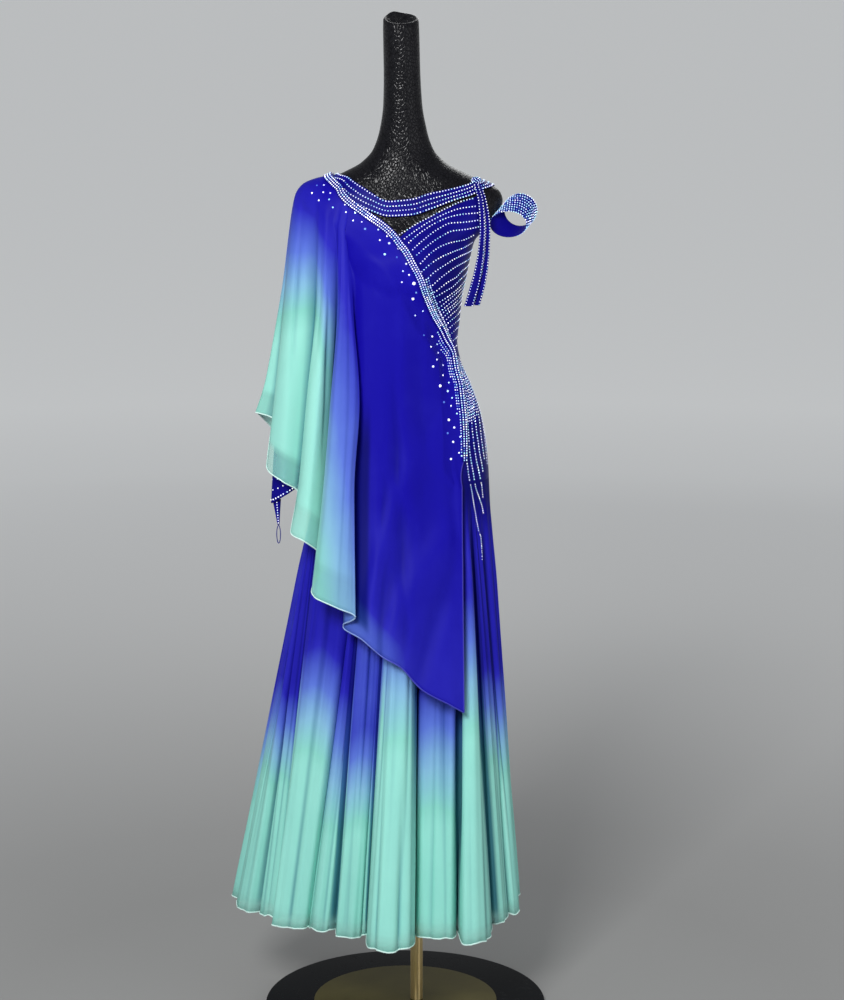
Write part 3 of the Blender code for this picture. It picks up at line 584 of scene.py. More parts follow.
bodice = {
    "out": 0.0002, "wall": 0.0012, "hipSeam": 1.045, "rows": 90, "columns": 90, "dragWidth": 5.0,
    "frontEdge": {"angle": (-89.92, -70, -62, -55, -45, -34, -27, -16, -8, -4, 4, 14, 25, 39, 46.5, 49, 65,
                            80, 89.92),
                  "z": (1.4995, 1.516, 1.54, 1.562, 1.578, 1.57, 1.558, 1.537, 1.511, 1.501, 1.521, 1.54,
                        1.557, 1.5705, 1.575, 1.552, 1.521, 1.496, 1.487)},
    "backEdge": {"angle": (90.08, 100, 115, 131, 140, 160, 180, 200, 220, 229, 237, 245, 260, 269.92),
                 "z": (1.487, 1.496, 1.521, 1.548, 1.56, 1.551, 1.548, 1.551, 1.56, 1.548, 1.54, 1.522,
                       1.503, 1.4995)},
    # soft drag lines: angle, height, slope in degrees round the body per metre up, length, depth
    "drags": ((62, 1.33, 160, 0.05, 0.0006), (75, 1.27, -150, 0.05, 0.0007), (84, 1.2, 60, 0.06, 0.0006),
              (100, 1.31, -160, 0.05, 0.0007), (128, 1.28, 110, 0.06, 0.0008),
              (160, 1.3, -90, 0.05, 0.0006), (-60, 1.31, -120, 0.05, 0.0006),
              (215, 1.29, -120, 0.06, 0.0007), (245, 1.26, 90, 0.05, 0.0006)),
}


def bodiceGrid(edge):
    # rows from the cut edge down to the hip seam; each drag line is a hump along its slope
    even = np.linspace(edge["angle"][0], edge["angle"][-1], bodice["columns"])
    angles = np.unique(np.concatenate([even, edge["angle"]]))
    top = smoothRows(edge["z"], np.interp(angles, edge["angle"], np.arange(len(edge["angle"]))))
    down = np.concatenate([[0, 0.001], np.linspace(0.01, 0.99, bodice["rows"] - 4), [0.999, 1]])[:, None]
    z = top * (1 - down) + (bodice["hipSeam"] + 0.0001) * down
    out = np.full(z.shape, bodice["out"])
    for angle, middle, slope, length, depth in bodice["drags"]:
        off = (angles - angle - (z - middle) * slope) / bodice["dragWidth"]
        out += depth * np.exp(-off**2 - ((z - middle) / length) ** 2)
    return offBody(angles, z, out)


bodiceSheets = [putCloth(name, bodiceGrid(bodice[edge]), satin, bodice["wall"], node)
                for name, edge, node in (("bodiceFront", "frontEdge", "bodice_front"),
                                         ("bodiceBack", "backEdge", "bodice_back"))]
print("bodice made")


# neck bands

neckBand = {
    "out": 0.0003, "wall": 0.0014, "rows": 9, "columns": 120,
    # rows of stones: share from the upper edge, size and pitch
    "stones": ((0.06, 0.003, 0.0056), (0.36, 0.0028, 0.0054), (0.64, 0.0026, 0.0054),
               (0.93, 0.0032, 0.0056)),
    "front": {"angle": (-89.85, -55, -28, -16, -6, 3, 13, 25, 40, 60, 89.85),
              "low": (1.596, 1.594, 1.568, 1.549, 1.5395, 1.5415, 1.552, 1.566, 1.5765, 1.587, 1.591),
              "high": (1.612, 1.609, 1.595, 1.582, 1.568, 1.5715, 1.5815, 1.587, 1.593, 1.599, 1.604)},
    "back": {"angle": (90.15, 115, 140, 160, 180, 200, 220, 245, 269.85),
             "low": (1.591, 1.582, 1.564, 1.555, 1.552, 1.555, 1.566, 1.588, 1.596),
             "high": (1.604, 1.599, 1.591, 1.584, 1.581, 1.584, 1.592, 1.604, 1.612)},
}


def bandGrid(table, columns, rows, out, share=(0.0, 1.0)):
    # points between the band's upper edge, share 0, and its lower edge, share 1
    at = np.linspace(0, len(table["angle"]) - 1, columns)
    angle, low, high = smoothRows(np.array([table["angle"], table["low"], table["high"]]).T, at).T
    across = np.linspace(share[0], share[1], rows)[:, None]
    z = high * (1 - across) + low * across
    return angle, z, offBody(angle[None, :], z, out)


for name, key, node in (("neckBandFront", "front", "neck_band_front"),
                        ("neckBandBack", "back", "neck_band_back")):
    grid = bandGrid(neckBand[key], neckBand["columns"], neckBand["rows"], neckBand["out"])[2]
    putCloth(name, grid, satin, neckBand["wall"], node)
print("neck bands made")


# skirt

skirt = {
    "hemZ": 0.196, "wall": 0.0012, "rows": 62, "finer": 7, "hipOut": 0.0002,
    # the power that squares a flute's corners, and the flutes with another one
    "usualSquare": 0.42, "square": {5: 0.28},
    # front flutes: the valley that each starts from, its depth, its facing, columns, place on the hip
    # seam, and the heights where the blue starts to fade and where the mint is full
    "flutes": ((-0.298, 0.036, 0.038, -67, 6, -98, 0.64, 0.44),
               (-0.27, -0.03, 0.02, -43, 5, -84, 0.64, 0.44),
               (-0.233, -0.064, 0.052, -26, 7, -68, 0.745, 0.505),
               (-0.171, -0.094, 0.034, -30, 6, -24, 0.67, 0.36),
               (-0.127, -0.128, 0.05, 0, 7, -20.5, 0.58, 0.38),
               (-0.069, -0.128, 0.138, 0, 10, -6.2, 0.86, 0.54), (0.02, -0.112, 0.062, 0, 8, 9.4, 0.7, 0.4),
               (0.099, -0.134, 0.096, 2, 8, 40, 0.83, 0.56), (0.167, -0.098, 0.016, 50, 5, 48.5, 0.7, 0.48),
               (0.19, -0.048, 0.036, 70, 6, 56, 0.68, 0.45)),
    "backDye": ((0.76, 0.5), (0.66, 0.4), (0.82, 0.55), (0.7, 0.43), (0.64, 0.33), (0.8, 0.52),
                (0.68, 0.41), (0.84, 0.54), (0.66, 0.38)),
    "backDepth": 0.052, "backColumns": 6, "middleX": -0.052, "backHalfWidth": 0.232, "backReach": 0.215,
    "rightAngle": 97, "rightHip": 96, "leftAngle": 262,
    # soft folds: place in flutes at the top and at the hem, width in flutes, depth out, where it starts
    "folds": ((0.55, 0.5, 0.1, 0.004, 0.3), (1.5, 1.45, 0.12, -0.004, 0.35), (2.3, 2.26, 0.07, 0.006, 0.2),
              (2.62, 2.55, 0.08, -0.005, 0.45), (3.45, 3.5, 0.1, 0.005, 0.25),
              (4.28, 4.22, 0.06, 0.006, 0.15), (4.6, 4.52, 0.06, 0.005, 0.15),
              (4.8, 4.74, 0.05, -0.004, 0.4), (5.34, 5.26, 0.06, -0.005, 0.55),
              (5.56, 5.62, 0.05, -0.007, 0.5), (5.78, 5.74, 0.06, 0.004, 0.3),
              (6.3, 6.26, 0.06, 0.006, 0.2), (6.62, 6.7, 0.07, -0.004, 0.45),
              (7.36, 7.3, 0.07, 0.005, 0.25), (7.68, 7.72, 0.06, -0.005, 0.5),
              (8.5, 8.5, 0.12, 0.003, 0.35), (9.5, 9.45, 0.1, 0.004, 0.3), (10.4, 10.35, 0.08, 0.006, 0.25),
              (11.55, 11.6, 0.08, -0.006, 0.4), (12.45, 12.4, 0.08, 0.006, 0.2),
              (13.6, 13.5, 0.08, -0.005, 0.45), (14.4, 14.45, 0.07, 0.006, 0.3),
              (15.6, 15.6, 0.08, 0.005, 0.25), (16.5, 16.4, 0.08, -0.006, 0.4),
              (17.45, 17.5, 0.08, 0.006, 0.25), (18.5, 18.55, 0.08, -0.005, 0.35)),
    "gathers": {"each": 3, "place": (0.2, 0.8), "width": 0.1, "depth": (0.003, 0.0065),
                # set beside the cape's edge: place, depth, width
                "right": ((7.02, -0.008, 0.18), (7.48, 0.007, 0.22), (7.98, -0.008, 0.18),
                          (8.5, 0.004, 0.25), (9.12, -0.006, 0.1), (9.3, 0.004, 0.08))},
    "fine": {"each": 4, "place": (0.1, 0.9), "lean": (-0.08, 0.08), "width": (0.03, 0.06),
             "depth": (0.001, 0.0032), "start": (-0.25, 0.2), "opening": 0.45},
    "hemWave": 0.005, "hemTurns": (1.37, 5.1), "hemRadius": 0.0016, "sideGap": 0.00015,
    # the share of a flute over which two dyes blend, and the arch of the dye's line in each flute
    "blend": 0.1, "arch": 0.035, "archDrop": 0.02,
    # valleys, darkened with painted shade: reach in columns and gain; the share of the fall where the hem is
    # a single layer, and the share of the fall over which the painted shade of the gathers below the hip
    # seam fades out
    "valleys": ((4, 2.6), (10, 3.4)), "singleHem": (0.962, 0.97), "gatheredTo": 0.14,
    # the paler blue: how much, flutes with more and how much more, and where it starts
    "lead": 0.1, "leadMore": ((7, 0.08), (4, 0.17), (0, 0.08)), "leadZ": 1.03,
    # painted highlight on the fold's edge that turns to the light in each flute: place, width, and how much
    # it adds to the dye
    "edge": (0.1, 0.03, 0.22),
    # valleys darkened with painted shade: place, half width, shares of the fall where it starts, is full,
    # and is gone
    "shades": ((5.98, 0.19, 0.3, 0.42, 0.95),),
    # folds that cast more shade on each other: middle, width, how much
    "close": ((8.7, 0.9, 0.7), (2.4, 1.8, 0.5)),
}


def allFlutes():
    # the front flutes from the table, then those behind, evenly along an ellipse
    flutes = [list(row) for row in skirt["flutes"]]
    count = len(skirt["backDye"])
    span = skirt["leftAngle"] - skirt["rightAngle"]
    for k, dyeHeights in enumerate(skirt["backDye"]):
        share = k / count
        turn = math.radians(skirt["rightAngle"] + share * span)
        hip = skirt["rightHip"] + share * (skirt["leftAngle"] - skirt["rightHip"])
        flutes.append([skirt["middleX"] + skirt["backHalfWidth"] * math.sin(turn),
                       -skirt["backReach"] * math.cos(turn), skirt["backDepth"],
                       math.degrees(turn) + 0.5 * span / count, skirt["backColumns"], hip, *dyeHeights])
    return flutes


def skirtGrid():
    # straight falls from the hip seam to the fluted hem. A flute's front runs from one valley to the
    # next as a half cosine, standing out by sin(share)**square, which squares its corners
    flutes = allFlutes()
    hem, hips, places = [], [], []
    for k, flute in enumerate(flutes):
        following = flutes[(k + 1) % len(flutes)]
        start, end = np.array(flute[:2]), np.array(following[:2])
        facing = math.radians(flute[3])
        outward = np.array([math.sin(facing), -math.cos(facing)])
        columns = flute[4] * skirt["finer"]
        share = np.arange(columns) / columns
        along = (0.5 - 0.5 * np.cos(np.pi * share))[:, None]
        bulge = (np.sin(np.pi * share) ** skirt["square"].get(k, skirt["usualSquare"]))[:, None]
        hem.append(start + (end - start) * along + outward * flute[2] * bulge)
        hips.append(flute[5] + ((following[5] - flute[5]) % 360) * share)
        places.append(k + share)
    hem, hips, places = np.concatenate(hem), np.concatenate(hips), np.concatenate(places)
    top = offBody(hips, bodice["hipSeam"], skirt["hipOut"])
    slow, quick = skirt["hemTurns"]
    wave = skirt["hemWave"] * np.sin(places * 2 * np.pi * slow) * np.sin(places * quick)
    bottom = np.column_stack([hem, skirt["hemZ"] + np.maximum(wave, 0)])
    fall = np.concatenate([[0, 0.0006], np.linspace(0, 1, skirt["rows"])[1:] ** 1.1])
    grid = top * (1 - fall[:, None, None]) + bottom * fall[:, None, None]
    out = np.zeros(grid.shape[:2])

    def wayRound(off):  # the shorter way round from one flute to another
        return (off + len(flutes) / 2) % len(flutes) - len(flutes) / 2

    for topPlace, hemPlace, width, depth, start in skirt["folds"]:
        middle = topPlace + (hemPlace - topPlace) * fall[:, None]
        out += depth * smoothStep(fall, start, 1.0)[:, None] * hump(places, middle, width)
    # gathers that stand deepest below the hip and flatten out towards the hem
    gathers = skirt["gathers"]
    count = gathers["each"] * len(flutes)
    middles = (np.arange(count) + dice.uniform(*gathers["place"], count)) / gathers["each"]
    depths = dice.uniform(*gathers["depth"], count) * np.where(np.arange(count) % 2 == 0, 1.0, -1.0)
    rows = zip((middles, depths, np.full(count, gathers["width"])), np.array(gathers["right"]).T)
    standing = smoothStep(fall, 0.0, 0.25) * (1 - 0.75 * smoothStep(fall, 0.45, 0.95))
    for middle, depth, width in zip(*[np.concatenate(pair) for pair in rows]):
        out += depth * standing[:, None] * hump(wayRound(places - middle), 0, width)
    # finer gathers, some in each flute, that start at the hip and open downwards
    fine = skirt["fine"]
    count = fine["each"] * len(flutes)
    middles = (np.arange(count) + dice.uniform(*fine["place"], count)) / fine["each"]
    lean = dice.uniform(*fine["lean"], count)
    widths, depths = dice.uniform(*fine["width"], count), dice.uniform(*fine["depth"], count)
    depths = depths * np.where(np.arange(count) % 3 == 1, -1.0, 1.0)
    starts = dice.uniform(*fine["start"], count)
    for middle, slope, width, depth, start in zip(middles, lean, widths, depths, starts):
        off = wayRound(places - middle - slope * fall[:, None])
        out += depth * smoothStep(fall, start, start + fine["opening"])[:, None] * hump(off, 0, width)
    return grid + normalsOf(grid, True) * out[..., None], places, fall


def skirtDye(grid, places):
    # 0 above the height where a flute's blue fades, 1 below where its mint is full; a short blend at
    # valleys, and a slight lead of paler blue above
    heights = np.array([row[6:8] for row in allFlutes()])
    whole = np.floor(places).astype(int) % len(heights)
    part = places - np.floor(places)
    back = np.clip(0.5 - part / skirt["blend"], 0, 0.5)[:, None]
    ahead = np.clip((part - 1) / skirt["blend"] + 0.5, 0, 0.5)[:, None]
    level = (heights[whole] * (1 - back - ahead) + heights[whole - 1] * back
             + heights[(whole + 1) % len(heights)] * ahead)
    fade, full = (level + skirt["arch"] * np.sin(np.pi * part)[:, None] - skirt["archDrop"]).T
    lead = skirt["lead"] + sum(more * hump(places, flute + 0.5, 0.5, 4) for flute, more in skirt["leadMore"])
    lead = lead * smoothStep(skirt["leadZ"] - grid[..., 2], 0.0, 0.15)
    return lead + (1 - lead) * np.clip((fade - grid[..., 2]) / (fade - full), 0, 1)


def makeSkirt():
    # the grid with its marks, in two halves that meet in the middle of the side flutes
    grid, places, fall = skirtGrid()
    down = fall[:, None] + 0 * places
    sheer = smoothStep(down, *skirt["singleHem"])
    # painted shade: the mark 'valley' grows where a point lies behind its neighbours, in the folds' valleys
    deep = np.max([valleyDepth(grid, reach, True) * gain for reach, gain in skirt["valleys"]], axis=0)
    for place, width, more in skirt["close"]:
        deep *= 1 + more * hump(places, place, width, 4)
    for place, width, start, full, end in skirt["shades"]:
        shade = smoothStep(fall, start, full) * (1 - smoothStep(fall, full, end))
        deep = np.maximum(deep, shade[:, None] * hump(places, place, width, 4))
    # painted shade, full in the gathers just below the hip seam, and halved where the hem is a single layer
    gatherShade = 1 - smoothStep(down, 0.0, skirt["gatheredTo"])
    valley = np.maximum(np.clip(deep, 0, 1) * (1 - 0.5 * sheer), gatherShade)
    # painted highlight: the fold's edge that turns to the light is painted paler through the dye mark
    place, width, more = skirt["edge"]
    lit = more * smoothStep(fall, 0.3, 0.6)[:, None] * hump(places % 1, place, width)
    dye = np.minimum(skirtDye(grid, places) * (1 - 0.1 * (1 - sheer)) + lit, 1.0)
    marks = {"dye": dye, "sheer": sheer, "valley": valley}
    count = len(places)
    start, end = [int(np.searchsorted(places, k + 0.5)) for k in (0, len(skirt["flutes"]) - 1)]
    made = {}
    for name, node, columns in (("skirtFront", "skirt_front", np.arange(start, end + 1)),
                                ("skirtBack", "skirt_back", np.arange(end, count + start + 1) % count)):
        piece = grid[:, columns].copy()
        for side, inner in ((0, 1), (-1, -2)):
            piece[:, side] += unit(piece[:, inner] - piece[:, side]) * skirt["sideGap"]
        made[name] = putCloth(name, piece, chiffon, skirt["wall"], node,
                              {key: mark[:, columns] for key, mark in marks.items()})
        hem = piece[-1] + normalsOf(piece)[-1] * skirt["wall"] / 2
        made[name + "Hem"] = putTube(name + "Hem", hem, skirt["hemRadius"], 7, hemFinish,
                                     {"dye": dye[-1, columns]})
    return made, grid


skirtPieces, skirtPoints = makeSkirt()
print("skirt made")


# cape

cape = {
    "out": 0.0045, "clear": 0.011, "flat": 0.0115, "rise": 0.035, "wall": 0.0009, "finer": 5, "rows": 84,
    "hipRow": 21, "sideRow": 9, "chestZ": 1.39, "waistZ": 1.21, "hipZ": 1.04,
    "edge": {"angle": (-192, -180, -163, -143, -124, -108, -90, -60, -39.6, -28.6, -17.5, -7.9, 0.0, 10.0,
                       18.6, 28.7, 44.8, 58.3, 55.0, 48.7, 44.1, 43.2),
             "z": (1.572, 1.57, 1.574, 1.583, 1.594, 1.601, 1.604, 1.598, 1.5862, 1.5654, 1.5395, 1.512,
                   1.483, 1.4438, 1.4044, 1.3647, 1.3204, 1.2811, 1.2353, 1.181, 1.1079, 1.0858)},
    # fold lines: columns to the next, place on the sewn edge, then the fold's way at the shoulder,
    # the chest, the waist and the hip where it has one, and its hem
    "folds": ((3, 0.0, (0.05, 0.096, 1.52), (0.048, 0.108), (0.047, 0.122), (0.046, 0.15),
               (0.045, 0.196, 0.75)),
              (3, 1.0, (0.0, 0.098, 1.52), (0.0, 0.11), (0.0, 0.124), (0.0, 0.15), (0.0, 0.196, 0.77)),
              (3, 1.5, (-0.05, 0.096, 1.52), (-0.05, 0.108), (-0.05, 0.122), (-0.05, 0.148),
               (-0.05, 0.188, 0.8)),
              (3, 2.0, (-0.086, 0.092, 1.525), (-0.088, 0.098), (-0.09, 0.11), (-0.094, 0.13),
               (-0.1, 0.148, 0.83)),
              (3, 2.3, (-0.108, 0.09, 1.53), (-0.114, 0.108), (-0.122, 0.13), (-0.128, 0.148),
               (-0.132, 0.168, 0.87)),
              (3, 2.6, (-0.13, 0.084, 1.535), (-0.138, 0.08), (-0.146, 0.078), (-0.15, 0.08),
               (-0.152, 0.088, 0.93)),
              (3, 3.0, (-0.156, 0.078, 1.545), (-0.17, 0.086), (-0.186, 0.098), None, (-0.2, 0.112, 1.0)),
              (2, 3.3, (-0.172, 0.064, 1.555), (-0.184, 0.052), (-0.198, 0.048), None, (-0.208, 0.05, 1.07)),
              (3, 3.7, (-0.16, 0.038, 1.588, -0.194, 0.042, 1.563), (-0.212, 0.05), (-0.24, 0.056), None,
               (-0.254, 0.06, 1.13)),
              (3, 4.0, (-0.162, 0.018, 1.6, -0.197, 0.02, 1.575), (-0.227, 0.022), (-0.262, 0.022), None,
               (-0.278, 0.022, 1.163)),
              (2, 4.5, (-0.162, 0.004, 1.603, -0.197, 0.006, 1.577), (-0.216, 0.004), (-0.231, 0.002), None,
               (-0.243, 0.0, 1.152)),
              (2, 5.0, (-0.162, -0.01, 1.603, -0.196, -0.01, 1.577), (-0.218, -0.034), (-0.238, -0.036),
               None, (-0.255, -0.038, 1.072)),
              (3, 5.5, (-0.156, -0.022, 1.6, -0.187, -0.026, 1.576), (-0.2, -0.058), (-0.212, -0.062), None,
               (-0.224, -0.066, 1.047)),
              (2, 6.1, (-0.16, -0.05, 1.57), (-0.162, -0.056), (-0.176, -0.052), None,
               (-0.197, -0.054, 1.023)),
              (2, 6.6, (-0.148, -0.056, 1.57), (-0.151, -0.082), (-0.173, -0.09), (-0.191, -0.094),
               (-0.208, -0.104, 0.96)),
              (3, 7.1, (-0.136, -0.06, 1.57), (-0.142, -0.092), (-0.156, -0.104), (-0.172, -0.114),
               (-0.183, -0.124, 0.946)),
              (2, 7.8, (-0.122, -0.062, 1.568), (-0.122, -0.084), (-0.13, -0.08), (-0.14, -0.088),
               (-0.149, -0.104, 0.907)),
              (3, 8.1, (-0.116, -0.066, 1.56), (-0.118, -0.104), (-0.132, -0.12), (-0.147, -0.136),
               (-0.168, -0.16, 0.86)),
              (3, 8.5, (-0.107, -0.069, 1.552), (-0.105, -0.112), (-0.107, -0.142), (-0.114, -0.163),
               (-0.125, -0.188, 0.837)),
              (2, 8.9, None, (-0.093, -0.108), (-0.08, -0.134), (-0.09, -0.156), (-0.088, -0.188, 0.818)),
              (2, 9.1, None, (-0.088, -0.102), (-0.094, -0.104), (-0.106, -0.116), (-0.111, -0.156, 0.792)),
              (2, 9.55, None, (-0.071, -0.112), (-0.068, -0.118), (-0.073, -0.13), (-0.076, -0.176, 0.773)),
              (3, 10.4, None, (-0.045, -0.118), (-0.044, -0.118), (-0.044, -0.13), (-0.043, -0.182, 0.745)),
              (5, 11.8, None, (-0.006, -0.12), (-0.006, -0.116), (-0.006, -0.126), (-0.006, -0.186, 0.723)),
              (6, 14.0, None, None, (0.038, -0.096), (0.038, -0.114), (0.038, -0.186, 0.677)),
              (8, 17.0, None, None, (0.085, -0.072), (0.083, -0.1), (0.086, -0.184, 0.65)),
              (0, 21.0, None, None, None, (0.108, -0.092), (0.112, -0.176, 0.633))),
    # where each fold line's blue starts to fade and where its mint is full
    "dyeFade": (1.3, 1.34, 1.36, 1.38, 1.44, 1.5, 1.56, 1.6, 1.63, 1.64, 1.64, 1.64, 1.63, 1.61, 1.58, 1.57,
                1.59, 1.64, 1.67, 1.5, 1.36, 1.2, 1.1, 1.05, 1.02, 1.0, 1.0),
    "dyeFull": (0.97, 1.02, 1.05, 1.1, 1.14, 1.18, 1.22, 1.26, 1.28, 1.29, 1.3, 1.31, 1.32, 1.33, 1.31,
                1.26, 1.14, 0.9, 0.58, 0.4, 0.08, -0.3, -0.6, -0.7, -0.8, -0.8, -0.8),
    # creases: fold place at top and bottom, share of the fall where it starts and ends, width in
    # folds, depth out
    "creases": ((16.4, 16.1, 0.12, 1.0, 0.3, -0.014), (15.2, 15.5, 0.25, 0.62, 0.12, -0.004),
                (13.6, 13.7, 0.1, 0.8, 0.25, 0.003), (17.5, 17.4, 0.1, 1.0, 0.14, 0.003),
                (18.6, 18.4, 0.15, 0.9, 0.16, 0.004), (19.5, 19.7, 0.35, 1.0, 0.16, -0.004),
                (22.0, 21.6, 0.45, 1.0, 0.3, 0.003), (26.0, 22.5, 0.35, 0.95, 0.45, 0.008),
                (25.6, 23.6, 0.5, 1.0, 0.35, -0.005), (24.4, 21.4, 0.3, 0.9, 0.35, 0.006),
                (22.6, 23.2, 0.25, 0.85, 0.3, -0.004), (12.3, 12.1, 0.05, 0.55, 0.22, -0.003),
                (10.5, 10.4, 0.15, 0.9, 0.2, 0.003), (7.5, 7.4, 0.15, 0.9, 0.2, 0.004),
                (5.4, 5.3, 0.2, 1.0, 0.25, -0.004), (3.4, 3.5, 0.25, 1.0, 0.25, 0.004),
                (1.6, 1.4, 0.3, 1.0, 0.3, 0.005), (0.6, 0.8, 0.4, 1.0, 0.25, -0.004)),
    "hemRadius": 0.0014, "sideGap": 0.0003, "dyePower": 1.35,
    # valleys, darkened with painted shade: reach in columns and gain
    "valleys": ((4, 4.6), (10, 4.0), (18, 2.6)),
    # painted shadow where a lobe shades the fold beside it: place, share of the fall where it starts and is
    # full, width in folds
    "shades": ((20.78, 0.42, 0.56, 0.6),), "shadeEnd": (0.955, 0.985),
    # the panel's foot is a little lighter: place, width in folds, extra dye
    "foot": (21.6, 1.7, 0.16),
    # the lobe over the sleeve's end is thinner: place, width in folds, extra
    "thin": (11.2, 1.3, 0.7),
}


def sewnEdge(at):
    # the angle and height of the cape's sewn edge at places along it
    return smoothRows(np.array([cape["edge"]["angle"], cape["edge"]["z"]]).T, at).T


def capeEdge(at, out):
    # points along the sewn edge, that far off the body
    return offBody(*sewnEdge(at), out)


def foldLine(fold, steps):
    # one fold from the sewn edge to the hem, read at shares of its length
    columns, edge, shoulder, chest, waist, hip, hem = fold
    stops = [capeEdge(np.array([edge]), cape["out"])[0]]
    if shoulder:  # one point or two
        stops.extend(np.reshape(shoulder, (-1, 3)))
    for level, z in ((chest, cape["chestZ"]), (waist, cape["waistZ"]), (hip, cape["hipZ"])):
        if level:
            stops.append((*level, z))
    stops.append(hem)
    fine = smoothRows(np.array(stops), np.linspace(0, len(stops) - 1, 300))
    length = stepLengths(fine, 0)
    wanted = np.concatenate([[0, cape["flat"] / 2, cape["flat"]], steps * length[-1]])
    return np.stack([np.interp(wanted, length, fine[:, k]) for k in range(3)], axis=-1)


def capeGrid():
    # smooth across the fold lines, laid on the bodice along the sewn edge and clear of the body below
    folds = cape["folds"]
    steps = np.linspace(0.04, 1.0, cape["rows"])
    lines = np.stack([foldLine(fold, steps) for fold in folds])
    places = [np.array([0.0])]
    for k, fold in enumerate(folds[:-1]):
        columns = fold[0] * cape["finer"]
        places.append(k + (np.arange(columns) + 1) / columns)
    places = np.concatenate(places)
    grid = np.moveaxis(smoothRows(lines, places), 0, 1)
    edges = smoothRows(np.array([fold[1] for fold in folds]), places)
    grid[0] = capeEdge(edges, cape["out"])
    sewn = capeEdge(np.linspace(0, cape["hipRow"], 260), cape["out"])
    away = np.linalg.norm(grid[..., None, :] - sewn, axis=-1).min(axis=-1)
    share = np.clip((away - cape["flat"]) / cape["rise"], 0, 1)
    laid = offBody(bodyAngle(grid), grid[..., 2], cape["out"])
    free = clearOfBody(grid, cape["out"] + (cape["clear"] - cape["out"]) * share)
    grid = laid + (free - laid) * share[..., None]
    fall = np.concatenate([[0, 0.01, 0.02], steps])
    out = np.zeros(grid.shape[:2])
    for topPlace, hemPlace, start, end, width, depth in cape["creases"]:
        middle = topPlace + (hemPlace - topPlace) * np.clip((fall - start) / (end - start), 0, 1)
        fade = smoothStep(fall, start, start + 0.25) * (1 - smoothStep(fall, end, end + 0.2) * (end < 1))
        out += depth * fade[:, None] * hump(places, middle[:, None], width)
    return grid + normalsOf(grid) * (out * share)[..., None], places, fall


def makeCape():
    # the cloth in two halves that meet at the left side, each with its dye and a rolled hem
    grid, places, fall = capeGrid()
    at = np.clip(places, 0, len(cape["folds"]) - 1)
    fade, full = smoothRows(cape["dyeFade"], at), smoothRows(cape["dyeFull"], at)
    dye = np.clip((fade - grid[..., 2]) / (fade - full), 0, 1) ** cape["dyePower"]
    place, width, extra = cape["foot"]
    dye += extra * smoothStep(fall, 0.89, 0.97)[:, None] * hump(places, place, width, 4)
    down = fall[:, None] + 0 * places
    sheer = dye * (0.25 + 0.75 * smoothStep(down, 0.9, 0.93))
    place, width, extra = cape["thin"]
    sheer *= 1 + extra * hump(places, place, width)
    # painted shade: the mark 'valley' darkens the folds' valleys, and the shades table paints a lobe's
    # shadow on the panel beside it
    deep = np.max([valleyDepth(grid, reach) * gain for reach, gain in cape["valleys"]], axis=0)
    valley = np.clip(deep, 0, 1) * smoothStep(down, 0.1, 0.4)
    for place, start, full, width in cape["shades"]:
        shade = smoothStep(fall, start, full) * (1 - smoothStep(fall, *cape["shadeEnd"]))
        valley = np.maximum(valley, shade[:, None] * hump(places, place, width, 8))
    marks = {"dye": dye, "sheer": sheer, "valley": valley}
    side = int(np.searchsorted(places, cape["sideRow"] - 1e-9))
    made = {}
    for name, columns, node in (("capeFront", slice(side, None), "cape_front"),
                                ("capeBack", slice(0, side + 1), "cape_back")):
        piece = grid[:, columns].copy()
        if name == "capeBack":
            piece[:, -1] += unit(piece[:, -2] - piece[:, -1]) * cape["sideGap"]
        made[name] = putCloth(name, piece, chiffon, cape["wall"], node,
                              {key: mark[:, columns] for key, mark in marks.items()})
        middle, mark = piece + normalsOf(piece) * cape["wall"] / 2, dye[:, columns]
        if name == "capeFront":  # the hem turns the corner and climbs the free right edge
            edge = np.concatenate([middle[-1], middle[-2::-1, -1]])
            mark = np.concatenate([mark[-1], mark[-2::-1, -1]])
        else:
            edge = np.concatenate([middle[:-1, 0], middle[-1]])
            mark = np.concatenate([mark[:-1, 0], mark[-1]])
        made[name + "Hem"] = putTube(name + "Hem", edge, cape["hemRadius"], 7, hemFinish,
                                     {"dye": mark})
    return made, grid[:, side:]


capePieces, capeFrontPoints = makeCape()
print("cape made")


# cape trim

trim = {"tint": {"at": (6, 12.5, 14.5, 17, 21), "value": (0.62, 0.68, 0.44, 0.52, 0.6)},
        "out": 0.0075, "wall": 0.0016, "columns": 240, "rows": 9, "start": 6.05, "end": 21.0,
        "half": {"at": (6, 12, 17, 21), "wide": (0.008, 0.0075, 0.006, 0.004)},
        # rows of stones: share across, size and the place where the row ends
        "stones": ((0.64, 0.0032, 21), (0.03, 0.003, 15.5), (-0.6, 0.0032, 21)), "pitch": 0.0044,
        # rows beside it on the cape: share across, first and last place
        "beside": ((-1.7, 15.6, 20.3), (-2.6, 16.0, 19.0), (-3.5, 16.3, 17.9)),
        "besidePitch": 0.005, "besideSize": 0.0028,
        # rows beside it on the bodice: shares across, and the places between which they lie
        "fill": (1.65, 2.35), "filled": (13.4, 16.7)}


def trimGrid(shares, columns):
    # across the sewn edge: share 1 is the upper side and -1 the lower
    at = np.linspace(trim["start"], trim["end"], columns)
    middle = capeEdge(at, trim["out"])
    across = unit(np.cross(bodyNormal(*sewnEdge(at)), np.gradient(middle, axis=0)))
    half = np.interp(at, trim["half"]["at"], trim["half"]["wide"])
    return middle + across * half[:, None] * np.asarray(shares)[:, None, None]


capeTrim = putCloth("capeTrim", trimGrid(np.linspace(1, -1, trim["rows"]), trim["columns"]), satin,
                    trim["wall"], "cape_trim")

# left sleeve, its beaded point and its finger loop

